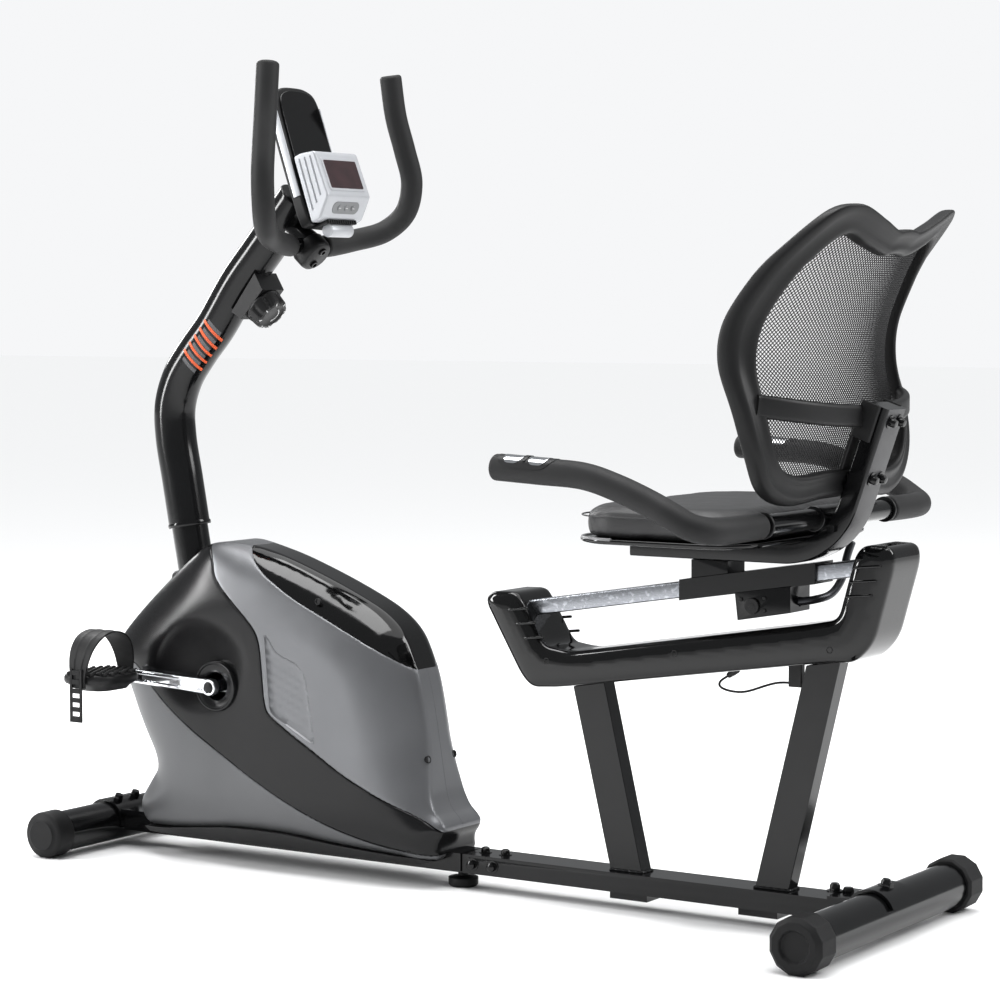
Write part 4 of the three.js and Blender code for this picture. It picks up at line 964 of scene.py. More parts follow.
# ---------------------------------------------------------------- drive covers
@dataclass
class DriveCovers:
    """The mouldings round the drive: gloss top, silver sides, charcoal band, grey foot."""

    outline: list = field(default_factory=lambda: [
        (-1096, 31), (-640, 31), (-612, 40), (-616, 60), (-605, 74), (-605, 86), (-627, 104), (-636, 155),
        (-646, 218), (-656, 268), (-668, 300), (-684, 333), (-714, 358), (-753, 377), (-814, 402), (-895, 430),
        (-958, 441), (-994, 438), (-1028, 413), (-1092, 358), (-1130, 322), (-1151, 298), (-1154, 270),
        (-1136, 240), (-1112, 182), (-1080, 127), (-1095, 105), (-1114, 78), (-1116, 60)])
    top_seam: list = field(default_factory=lambda: [
        (-950, 460), (-935, 440), (-904, 409), (-838, 373), (-779, 348), (-720, 320), (-690, 303), (-630, 262)])
    side_seam: list = field(default_factory=lambda: [
        (-1010, 460), (-972, 418), (-963, 394), (-925, 361), (-892, 332), (-881, 312), (-877, 270), (-873, 226),
        (-863, 211), (-784, 167), (-753, 148), (-694, 121), (-636, 97), (-600, 72), (-570, 62)])
    foot_seam: list = field(default_factory=lambda: [
        (-1190, 292), (-1120, 274), (-1094, 266), (-1062, 231), (-1006, 188), (-956, 160), (-889, 122),
        (-812, 87), (-753, 66), (-694, 52), (-640, 46), (-590, 44)])
    pan_seam: list = field(default_factory=lambda: [
        (-1140, 38), (-1060, 41), (-950, 54), (-895, 56), (-840, 55), (-760, 47), (-600, 37)])
    vent: list = field(default_factory=lambda: [
        (-876, 332), (-852, 301), (-817, 289), (-801, 271), (-785, 172), (-866, 214)])
    crank: tuple = (-955.0, 247.0)
    ridge: float = 20.0
    nose_ridge: float = 42.0
    half: float = 78.0
    step: float = 8.0

    def ridge_at(self, points: Array) -> Array:
        """Half the ridge's width at each point: narrow behind, wide at the nose and at the foot."""
        behind = np.clip((points[:, 0] + 1010) / 110, 0, 1)
        above = np.clip((points[:, 1] - 90) / 110, 0, 1)
        share = np.minimum(behind**2 * (3 - 2 * behind), above**2 * (3 - 2 * above))
        return self.nose_ridge + (self.ridge - self.nose_ridge) * share

    def vent_outline(self) -> Array:
        """The louvred recess with round corners."""
        p = np.array(self.vent, float)
        inset = p.mean(0) + (p - p.mean(0)) * 0.93
        return softened(spaced(inset, 22, True), samples=4)

    def relief(self, points: Array) -> Array:
        """How far the side is sunk: a bowl ahead of the crank, and the vent with its slanted louvres."""
        cx, cz = self.crank
        far = np.hypot((points[:, 0] - cx + 26) / 82, (points[:, 1] - cz - 26) / 66)
        bowl = 9.0 * np.clip(1 - far**2, 0, 1) ** 1.5
        vent = self.vent_outline()
        sunk = np.where(inside(points, vent), np.clip(edge_distance(points, vent) / 2.0, 0, 1), 0)
        along = points[:, 1] + 0.42 * points[:, 0]
        louvre = np.abs((along / 12.5) % 1.0 - 0.5) * 2
        return bowl + sunk * (1.8 + 1.4 * louvre)

    def bezel(self, y0: float, y1: float) -> Surface:
        """The round disc behind the crank arm, with a raised rim and an open middle."""
        profile = [(19, y0), (33, y0), (34, y0 + 1), (34, y1 - 1.2), (33, y1), (31.2, y1), (30.2, y1 - 1.4),
                   (20.5, y1 - 2.2), (19, y1 - 3.4), (19, y0)]
        return turned(profile, (self.crank[0], 0, self.crank[1]), (0, 1, 0), 64)

    def build(self) -> None:
        """Makes the five kinds of moulding on both sides."""
        outline = softened(self.outline, samples=8)
        lines = [softened(s, False, 8) for s in (self.top_seam, self.side_seam, self.foot_seam, self.pan_seam)]
        crown = Crown(outline, self.ridge_at, self.half, 78.0, 0.72, self.relief)
        top, rest = split(outline, lines[0])
        silver, rest = split(rest, lines[1])
        band, rest = split(rest, lines[2])
        foot, _ = split(rest, lines[3])
        gap = 0.35
        regions = {name: self.shrunk(region, outline, gap) for name, region in
                   (("top", top), ("silver", silver), ("band", band), ("foot", foot))}
        axle_hole = np.array(self.crank) + circle(20.0, 40)
        vent = self.vent_outline()
        ring = vent.mean(0) + (vent - vent.mean(0)) * 0.965
        both = (Side.LEFT, Side.RIGHT)
        top_piece = crown.moulding(regions["top"], [], self.step, both)
        fitted(add_piece("crown_cover", top_piece), GLOSS, "frame", "top_cover")
        foot_piece = crown.moulding(regions["foot"], [], self.step, both)
        fitted(add_piece("foot_moulding", foot_piece), FOOT, "frame", "foot_cover")
        kept("bottom_pan", PLASTIC, "frame")
        for side in both:
            silver_piece = crown.moulding(regions["silver"], [], self.step * 0.75, (side,), extra=[vent, ring])
            fitted(add_piece(f"silver_side_{side.word}", silver_piece), SILVER, "frame",
                   f"side_panel_{side.word}")
            band_piece = crown.moulding(regions["band"], [axle_hole], self.step, (side,))
            fitted(add_piece(f"charcoal_band_{side.word}", band_piece), BAND, "frame", f"shroud_{side.word}")
            disc = self.bezel(72.0, 81.5)
            disc = disc if side is Side.RIGHT else mirrored(disc)
            fitted(add_piece(f"crank_bezel_{side.word}", disc), BAND, "frame")
            self.screws(side)

    @staticmethod
    def shrunk(region: Array, outline: Array, gap: float) -> Array:
        """A region drawn in by a gap along its seams, its stretch of the moulding's outline kept.

        Args:
            region: the region's outline.
            outline: the whole moulding's outline.
            gap: how far the seams are drawn in.

        Returns:
            The smaller outline.
        """
        tangent = unit(np.roll(region, -1, 0) - np.roll(region, 1, 0))
        normal = np.stack([-tangent[:, 1], tangent[:, 0]], 1)
        turn = 1.0 if inside(region[:1] + normal[:1] * 0.4, region)[0] else -1.0
        on_edge = edge_distance(region, outline) < 0.02
        moved = region + turn * gap * normal
        keep = inside(moved, outline) | on_edge
        return np.where(on_edge[:, None], region, moved)[keep]

    def screws(self, side: Side) -> None:
        """Dark sunk screw heads on the covers' skirts."""
        heads = [(-795.0, 370.0, 62.0), (-650.0, 53.0, 60.0)]
        surfaces = [turned([(0, -3), (4.4, -3), (4.4, 0.3), (3.2, 0.3), (2.6, -1.0), (0, -1.0)],
                           (x, side.value * y, z), (0, side.value, 0), 20) for x, z, y in heads]
        rear = turned([(0, -4), (5, -4), (5, 0.4), (3.8, 0.4), (3.2, -1.2), (0, -1.2)],
                      (-638.5, side.value * 30.0, 168.0), (1, 0, 0.2), 20)
        piece = add_piece(f"cover_screws_{side.word}", together(*surfaces, rear))
        fitted(piece, PLASTIC, "frame")


# ---------------------------------------------------------------- base, mast and rail housing
@dataclass
class Base:
    """Base rails, stabilisers, legs and feet."""

    def build(self) -> None:
        """Makes the pieces that stand on the floor."""
        for node in ("base_rail_front", "base_rail_rear", "front_leg", "rear_leg", "seat_beam"):
            kept(node, POWDER, "frame", 1.6 if node.endswith("leg") else 1.2)
        kept("centre_foot", RUBBER, "centre_foot", 0.8)
        across = np.linspace(-1, 1, 60)[:, None]
        for name, x, z, radius, half in (("front", -1193.7, 32, 28, 131), ("rear", 0, 34, 28.5, 185)):
            line = np.array([x, 0, z]) + across * np.array([0, half, 0])
            pieces = [tube(line, radius, (0, 0, 1), 0, 56)]
            if name == "front":
                stub = np.array([x, 0, z]) + across * np.array([0, 160, 0])
                pieces.append(tube(stub, 6, (0, 0, 1)))
            fitted(add_piece(f"{name}_stabiliser_tube", together(*pieces)), POWDER, "frame",
                   f"{name}_stabilizer")
        for side in Side:
            self.end_pieces(side)
        self.fittings()

    def end_pieces(self, side: Side) -> None:
        """The transport roller and the stepped levelling cap of one side."""
        s = side.value
        roller = [(6.3, 0), (31, 0), (32, 1.2), (32, 26), (31.4, 28.6), (29.6, 30.4), (26, 31.6), (22, 32.4),
                  (20, 34.7), (0, 34.7), (0, 31), (6.3, 31), (6.3, 0)]
        fitted(add_piece(f"roller_{side.word}", turned(roller, (-1193.7, s * 131.3, 32), (0, s, 0), 72)),
               RUBBER, f"front_roller_{side.word}", f"front_roller_{side.word}")
        cap = refined(f"rear_cap_{side.word}", 1.6, 25.0, 3)
        fitted(cap, RUBBER, f"rear_cap_{side.word}", f"rear_cap_{side.word}")

    def fittings(self) -> None:
        """Nuts, washers, weld beads and the plugs under the rail."""
        nuts = []
        for x, z, tilt in ((-62, 53, 0.0), (5, 65.5, 0.2)):
            nuts.append(turned([(0, -1), (10, -1), (10, 1), (6.5, 1.2), (6.5, 7), (4.5, 10), (0, 10.5)],
                               (x, 0, z), (tilt, 0, 1), 24))
        for x in (-569, -538):
            nuts.append(turned([(0, -1), (8.5, -1), (8.5, 0.8), (5.6, 1), (5.6, 6), (3, 7.6), (0, 8)],
                               (x, 0, 47.5), (0, 0, 1), 24))
            for s in (-1, 1):
                nuts.append(turned([(0, -1), (8.5, -1), (8.5, 0.8), (5.6, 1), (5.6, 6), (3, 7.6), (0, 8)],
                                   (x - 4, s * 25, 35), (0, s, 0), 24))
        fitted(add_piece("base_nuts", together(*nuts)), POWDER, "frame")
        beads = []
        for x0, x1 in ((-372, -325), (-166, -118)):
            ring = np.array([(x0, -12.5), (x1, -12.5), (x1, 12.5), (x0, 12.5)], float)
            line = spaced(ring, 3.0, True)
            path = np.stack([line[:, 0], line[:, 1], np.full(len(line), 48.4)], 1)
            ripple = 1 + 0.16 * np.sin(np.arange(len(path)) * 1.9)
            beads.append(swept(path, circle(2.1, 10), (0, 0, 1), ripple))
        fitted(add_piece("leg_welds", together(*beads)), POWDER, "frame")
        pads = [block(x - 26, x + 26, -17, 17, 12.5, 22.6) for x in (-342, -158)]
        fitted(eased(add_piece("rail_pads", together(*pads)), 1.5), RUBBER, "frame")


@dataclass
class Mast:
    """The post, the bent upper mast, its collar and the stripes on it."""

    line: list = field(default_factory=lambda: [
        (-1061.5, 0, 456), (-1073.6, 0, 520), (-1085, 0, 580), (-1086, 0, 622), (-1072, 0, 662), (-1046, 0, 697),
        (-1013, 0, 734), (-970, 0, 793.3), (-930, 0, 838), (-868.6, 0, 906.5)])
    radius: float = 28.5
    post_foot: tuple = (-985.5, 0.0, 56.0)
    post_top: tuple = (-1067.0, 0.0, 485.0)
    gaiter_z: float = 388.0
    mouth_z: float = 458.0

    def on_post(self, z: float) -> Array:
        """The point of the post's centre line at a height."""
        foot, top = np.array(self.post_foot), np.array(self.post_top)
        return foot + (top - foot) * (z - foot[2]) / (top[2] - foot[2])

    def build(self) -> None:
        """Makes the mast's pieces."""
        path = smooth_line(self.line, 90)
        fitted(add_piece("mast_tube", tube(path, self.radius, (0, 1, 0), 2.0, 56)), POWDER, "frame", "upper_mast")
        foot, top = np.array(self.post_foot), np.array(self.post_top)
        post = straight(foot, top, 20)
        hub = np.array([-955, 0, 247.0]) + np.linspace(-24, 24, 6)[:, None] * np.array([0, 1, 0])
        base = block(-1029, -939, -24, 24, 47.8, 58.5)
        fitted(add_piece("post_tube", together(tube(post, 25, (0, 1, 0), 0, 48), tube(hub, 21, (0, 0, 1)), base)),
               POWDER, "frame", "lower_post")
        up = unit(top - foot)
        collar = [(25.2, -10), (33, -10), (35, -7), (35.5, 2), (34, 6), (30, 9.5), (25.2, 10), (25.2, -10)]
        gaiter = turned(collar, self.on_post(self.gaiter_z), up, 56)
        fitted(add_piece("post_gaiter", gaiter), RUBBER, "frame", "mast_collar")
        ring = [(25.2, -3), (29.4, -3), (29.9, -1), (29.9, 1), (29.4, 3), (25.2, 3), (25.2, -3)]
        mouth = turned(ring, self.on_post(self.mouth_z), up, 56)
        fitted(add_piece("mast_mouth_ring", mouth), POWDER, "frame")
        screw = turned([(0, -2), (6.5, -2), (6.5, 1), (4.6, 1.2), (4.2, 5), (0, 5.6)],
                       (-1068 - 28.0, 0, 492), (-0.98, 0, 0.19), 6)
        fitted(add_piece("mast_lock_screw", screw), POWDER, "frame")
        self.stripes(path)

    def stripes(self, path: Array) -> None:
        """Slanted orange lines with grey blocks between them, on the mast's rear left.

        Args:
            path: the mast's centre line.
        """
        run = distances(path)
        start = run[np.argmin(np.abs(path[:, 2] - 688))]
        pitch = 13.5
        lines = [self.stripe(path, start + pitch * k, 4.2, (18, 96), 12, 0.25) for k in range(5)]
        blocks = [self.stripe(path, start - 6.5 + pitch * k, 5.2, (34, 84), 8, 0.2) for k in range(6)]
        fitted(add_piece("mast_stripes", together(*lines)), STRIPE, "frame")
        fitted(add_piece("mast_stripe_blocks", together(*blocks)), STRIPE_GREY, "frame")

    def stripe(self, path: Array, start: float, length: float, turn: tuple[float, float], slant: float,
               lift: float) -> Surface:
        """One stripe: the point is the axis, plus the tube's radius turned through an angle from rear to
        left, moved along the mast by the slant.

        Args:
            path: the mast's centre line.
            start: how far along it the stripe starts.
            length: the stripe's width along the mast.
            turn: its first and last angle in degrees.
            slant: how much further along the mast it ends than it starts.
            lift: how far it stands off the tube.

        Returns:
            The closed stripe.
        """
        run = distances(path)
        tangent = unit(np.gradient(path, axis=0))
        u, v = np.meshgrid(np.linspace(0, 1, 6), np.linspace(0, 1, 18), indexing="ij")
        angle = np.radians(turn[0] + (turn[1] - turn[0]) * v)
        along = start + length * u + slant * v
        centre = np.stack([np.interp(along, run, path[:, k]) for k in range(3)], -1)
        heading = unit(np.stack([np.interp(along, run, tangent[:, k]) for k in range(3)], -1))
        left = np.broadcast_to(np.array([0.0, -1.0, 0.0]), heading.shape)
        out = np.cos(angle)[..., None] * np.cross(heading, left) + np.sin(angle)[..., None] * left
        return slab(centre + (self.radius + lift) * out, centre + (self.radius - 0.4) * out)


@dataclass
class RailHousing:
    """The gloss housing under the seat rail with its two horns."""

    outline: list = field(default_factory=lambda: [
        (-433, 279), (-220, 311), (-60, 335), (-20, 338), (4, 362), (31, 460), (26, 478), (-8, 479), (-20, 468),
        (-42, 388), (-87, 379), (-419, 325), (-456, 330), (-492, 390), (-500, 397), (-535, 396), (-545, 384),
        (-490, 291), (-474, 276)])
    half: float = 44.0

    def build(self) -> None:
        """Makes the housing, its ribs, the rail and the carriage's fixed parts."""
        outline = softened(spaced(np.array(self.outline, float), 34, True), samples=5)
        crown = Crown(outline, self.half - 9, self.half, 15.0, 0.5)
        body = crown.moulding(outline, [], 7.0, (Side.LEFT, Side.RIGHT))
        fitted(add_piece("rail_housing", body), GLOSS, "frame", "rail_cover")
        ribs = []
        for side in Side:
            for corner, step, width in (((-19, 452), (-5.5, -17.5), 36), ((-506, 374), (12, -17.5), 30)):
                for k in range(3):
                    x = corner[0] + step[0] * k
                    z = corner[1] + step[1] * k
                    y = side.value * 43.4
                    line = straight(np.array([x, y, z]), np.array([x + width, y, z + 3.5]), 8)
                    ribs.append(tube(line, 1.9, (0, 0, 1), 1.5, 12))
        fitted(add_piece("horn_ribs", together(*ribs)), GLOSS, "frame")
        holes = [turned([(0, -3), (4.6, -3), (4.6, 0.35), (3.4, 0.35), (3.0, -1.4), (0, -1.4)],
                        (x, side.value * self.half, z), (0, side.value, 0), 6)
                 for side in Side for x, z in ((-448, 312), (-262, 334), (-50, 352))]
        fitted(add_piece("housing_screws", together(*holes)), PLASTIC, "frame")
        root, mouth = np.array([-197, 0, 314.3]), np.array([-211, 0, 305.0])
        gland = turned([(0, 0), (4.4, 0), (4.4, 8), (3.4, 16.4), (2.4, 16.8), (0, 16.8)], root, mouth - root, 24)
        clip = block(-124.9, -107.1, -4.9, 4.9, 298.2, 329)
        fitted(eased(add_piece("cable_clip", together(gland, clip)), 1.0), PLASTIC, "frame")
        x = np.linspace(-508, -6, 40)
        line = np.stack([x, np.zeros(40), 410 + SLOPE * (x + 271)], 1)
        fitted(add_piece("slide_rail", swept(line, squared(10, 20, 2.4), (0, 1, 0)), 30), RAIL, "frame",
               "seat_rail")


@dataclass
class SensorCable:
    """The pulse sensors' cable, hanging in one loop under the housing from its gland to its clip."""

    route: list = field(default_factory=lambda: [
        (-211.25, 304.83), (-214.6, 302.6), (-218, 300.4), (-220.9, 298), (-222.6, 295.2), (-222.3, 292.3),
        (-219.6, 289.9), (-215, 288.1), (-209, 286.9), (-202, 286.2), (-194.5, 286.2), (-187, 287.2),
        (-179.5, 289.1), (-172, 291.6), (-164.5, 294.4), (-157, 297.1), (-149.5, 299.5), (-142, 301.3),
        (-135, 302.2), (-129.5, 302.5), (-125.3, 302.5)])
    radius: float = 1.45

    def build(self) -> None:
        p = np.array(self.route, float)
        path = smooth_line(np.column_stack([p[:, 0], np.zeros(len(p)), p[:, 1]]), 120)
        piece = add_piece("sensor_lead", tube(path, self.radius, (0, 1, 0), 0, 16))
        fitted(piece, RUBBER, "frame", "sensor_cable")


# ---------------------------------------------------------------- front handlebar, console and knob
@dataclass
class Handlebar:
    """The tilting front handlebar with its foam and clamp."""

    half_line: list = field(default_factory=lambda: [
        (-855, -18, 842), (-855, -43, 842), (-846, -90, 850), (-822, -135, 864), (-806, -160, 890),
        (-801, -168, 930), (-806, -158, 975), (-812, -146, 1020), (-815, -137, 1076)])
    bar: float = 11.0
    foam: float = 15.0

    def build(self) -> None:
        """Makes the bar, its grips, and the clamp with its two socket screws."""
        left = np.array(self.half_line, float)
        whole = np.vstack([left[::-1], left * [1, -1, 1]])
        inner = smooth_line(whole, 160)
        fitted(add_piece("handlebar_tube", tube(inner[3:-3], self.bar, (1, 0, 0))), POWDER, "handlebar",
               "handlebar")
        for side in Side:
            line = np.vstack([[(-855, -34, 842)], left[1:]]) * [1, -side.value, 1]
            path = smooth_line(line, 110)
            fitted(add_piece(f"front_grip_{side.word}", tube(path, self.foam, (1, 0, 0), 4.5, 36)), FOAM,
                   "handlebar", f"handlebar_foam_{side.word}")
        out = np.array([0.745, 0, -0.667])
        centre = np.array([-930, 0, 838]) + 52 * np.array([0.667, 0, 0.745])
        cap = [(0, 53.3), (23, 53.3), (24, 55), (24, 70), (22.6, 74.5), (19.5, 76.6), (0, 77)]
        screws = [turned([(0, 76), (5.6, 76), (5.6, 79.2), (4.8, 80), (3.1, 80), (2.9, 77.4), (0, 77.4)],
                         centre + s * np.array([0.667, 0, 0.745]), out, 24) for s in (-11, 11)]
        fitted(add_piece("clamp_cover", turned(cap, centre, out, 64)), PLASTIC, "frame", "clamp_cap")
        fitted(add_piece("clamp_screws", together(*screws)), POWDER, "frame")
        cup = turned([(0, 18), (17.5, 18), (18.5, 30), (21.5, 47), (21.5, 52.8), (0, 52.8)], centre, out, 48)
        fitted(add_piece("clamp_cradle", cup), POWDER, "frame")


@dataclass
class Console:
    """The leaning holder, the silver display housing with its window, keypad and buttons."""

    at: tuple = (-812.0, 866.0)
    lean: float = 18.6

    def leaned(self, surface: Surface) -> Surface:
        """A surface from the panel's own frame (x out to the rider, z up the panel) to the machine's."""
        a = math.radians(self.lean)
        p = surface[0]
        x = p[:, 0] * math.cos(a) - p[:, 2] * math.sin(a) + self.at[0]
        z = p[:, 0] * math.sin(a) + p[:, 2] * math.cos(a) + self.at[1]
        return np.stack([x, p[:, 1], z], 1), surface[1]

    def place(self, name: str, surface: Surface, finish: Finish, width: float = 0.0, *nodes: str) -> None:
        """Adds one piece of the console, its edges rounded by a width.

        Args:
            name: the piece's name.
            surface: its surface in the panel's own frame.
            finish: its finish.
            width: the rounding's width.
        """
        piece = add_piece(name, self.leaned(surface))
        if width:
            eased(piece, width)
        fitted(piece, finish, "frame", *nodes)

    def panel(self) -> Array:
        """The holder's front view: straight sides that lean out a little and a crowned top."""
        right = [(40, 0), (46, 12), (49, 60), (49.5, 120), (47, 176), (41, 190), (26, 197.5), (0, 199.5)]
        p = np.array(right + [(-y, z) for y, z in right[-2::-1]], float)
        return smooth_line(p, 90, True)

    def build(self) -> None:
        """Makes the console."""
        panel = self.panel()
        inner = panel.mean(0) + (panel - panel.mean(0)) * np.array([0.86, 0.93])
        tray = together(plate(panel, -20, -3, "x"))
        self.place("console_tray", tray, PLASTIC, 3.0, "console_holder")
        face = plate(inner, -3.6, -0.4, "x")
        self.place("console_tray_face", face, GLOSS, 1.2)
        self.place("console_rim_strips", together(*[
            swept(np.stack([np.full(40, -9.0), np.full(40, s * 49.4), np.linspace(45, 172, 40)], 1),
                  squared(5.5, 1.2, 0.8), (0, 1, 0)) for s in (-1, 1)]), CONSOLE_SILVER)
        self.place("console_neck", block(-38, -16, -19, 19, 14, 74), PLASTIC, 3.0)
        self.place("console_ledge", together(block(-10, 15, -33, 33, 0, 4), *[
            block(13, 17, y - 1.4, y + 1.4, -1, 4.6) for y in np.arange(-30, 31, 5)]), PLASTIC, 0.6)
        profile = np.array([(0.4, 4.6), (13.5, 4.4), (17, 6.5), (37.4, 28.5), (38.6, 31.5), (35.6, 91),
                            (33.5, 93.8), (12, 98), (0.4, 97)], float)
        ring = softened(spaced(profile, 9.0, True), samples=4)
        self.place("display_housing", together(plate(ring, -48, 48)), CONSOLE_SILVER, 3.2, "console_housing")
        flank = []
        for s in (-1, 1):
            for x in (8, 17, 26):
                z = np.linspace(14 + x * 0.8, 92 - x * 0.1, 20)
                flank.append(swept(np.stack([np.full(20, x), np.full(20, s * 48.2), z], 1), circle(1.5, 10),
                                   (0, 1, 0)))
        self.place("display_flank_ribs", together(*flank), CONSOLE_SILVER)
        tilt = np.array([-3.0, 60.5]) / math.hypot(3.0, 60.5)
        bezel_x, glass_x = (38.6 - 3.0 * (z - 31.5) / 60.5 for z in (61, 60.5))
        bezel = self.on_face(roundrect(39.5, 23.5, 4), 61, bezel_x, tilt, -1.2, 0.9)
        self.place("display_bezel", bezel, CONSOLE_SILVER, 0.7)
        glass = self.on_face(roundrect(36.0, 20.0, 2.2), 60.5, glass_x, tilt, -0.6, 1.35)
        self.place("display_window", glass, LENS, 0.4, "console_lens")
        slope = np.array([20.4, 22.0]) / math.hypot(20.4, 22.0)
        pad = self.on_face(roundrect(29, 8.6, 8), 17.4, 27.2, slope, -1.0, 0.7)
        self.place("keypad", pad, KEYPAD, 0.5)
        out = np.array([slope[1], -slope[0]])
        for k, name in enumerate(("button_mode", "button_set", "button_reset")):
            y = (k - 1) * 15.0
            centre = np.array([27.2, y, 17.6])
            key = turned([(0, -4), (3.9, -4), (3.9, 1.3), (3.2, 2.1), (0, 2.3)], centre, (out[0], 0, out[1]), 32)
            piece = add_piece(f"{name}_cap", self.leaned(key))
            fitted(piece, KEYPAD, name, name)
            mark = block(-2.2, 2.2, -0.5, 0.5, -0.05, 0.16)
            p = mark[0]
            spot = centre + p[:, :1] * np.array([0, 1, 0]) + p[:, 1:2] * np.array([slope[0], 0, slope[1]]) \
                + (p[:, 2:] + 2.3) * np.array([out[0], 0, out[1]])
            fitted(add_piece(f"{name}_mark", self.leaned((spot, mark[1]))), INLAY, name)
        self.place("console_pivot", turned([(0, -24), (8.5, -24), (9, -23), (9, 23), (8.5, 24), (0, 24)],
                                           (6, 0, -7), (0, 1, 0), 32), CONSOLE_SILVER)

    @staticmethod
    def on_face(shape: Array, z: float, x: float, up: Array, low: float, high: float) -> Surface:
        """A flat shape laid on a sloping face: its first axis runs across, its second up the face.

        Args:
            shape: the flat shape.
            z: the face's height at the shape's middle.
            x: how far out the face is there.
            up: the direction up the face, as (x, z).
            low: the level of the shape's back.
            high: the level of its front.

        Returns:
            The closed shape.
        """
        out = np.array([up[1], -up[0]])
        flat = plate(shape, low, high, "z")
        p = flat[0]
        points = np.stack([
            x + p[:, 1] * up[0] + p[:, 2] * out[0], p[:, 0], z + p[:, 1] * up[1] + p[:, 2] * out[1]], 1)
        return points, flat[1]


def roundrect(half_a: float, half_b: float, corner: float) -> Array:
    """A rectangle with round corners as an outline."""
    return squared(half_a, half_b, corner, 6)


@dataclass
class Knob:
    """The fluted tension knob on its wedge shaped housing."""

    def build(self) -> None:
        """Makes the housing and the knob with its inlays."""
        kept("knob_housing", PLASTIC, "frame", 2.5)
        out = np.array([0.745, 0, -0.667])
        along = np.array([0.667, 0, 0.745])
        across = np.array([0.0, 1.0, 0.0])
        centre = np.array([-930, 0, 838]) - 57 * along + 49 * out
        turn = np.linspace(0, 2 * np.pi, 192, endpoint=False)
        flute = 1 - 0.10 * np.clip(np.cos(turn * 8), 0.1, 1) ** 1.2
        rows = [(0, 0.3, 0), (26.0, 0.3, 0), (27, 2, 0), (27, 4, 0), (26.2, 6, 1), (25, 19, 1), (23.2, 22.2, 1),
                (18.5, 23, 0), (16.8, 21.6, 0), (0, 21.6, 0)]
        radius = np.array([r * (flute if k else np.ones_like(flute)) for r, _, k in rows])
        height = np.array([h for _, h, _ in rows])
        points = (centre + height[:, None, None] * out
                  + radius[..., None] * (np.cos(turn)[:, None] * along + np.sin(turn)[:, None] * across))
        surface = points.reshape(-1, 3), lattice(len(rows), len(turn), False, True)
        fitted(add_piece("tension_dial", surface), PLASTIC, "tension_knob", "tension_knob")
        marks = []
        for k in range(8):
            a = math.radians(45 * k + 22.5)
            spoke = math.cos(a) * along + math.sin(a) * across
            line = centre + (19.2 + 4.0 * np.linspace(0, 1, 5))[:, None] * spoke + 22.9 * out
            marks.append(swept(line, squared(0.8, 0.5, 0.3), out))
        a = np.radians(np.linspace(20, 160, 24))
        arc = centre + 11 * (np.cos(a)[:, None] * along + np.sin(a)[:, None] * across) + 21.8 * out
        marks.append(swept(arc, squared(0.7, 0.5, 0.3), out))
        fitted(add_piece("dial_marks", together(*marks)), INLAY, "tension_knob")


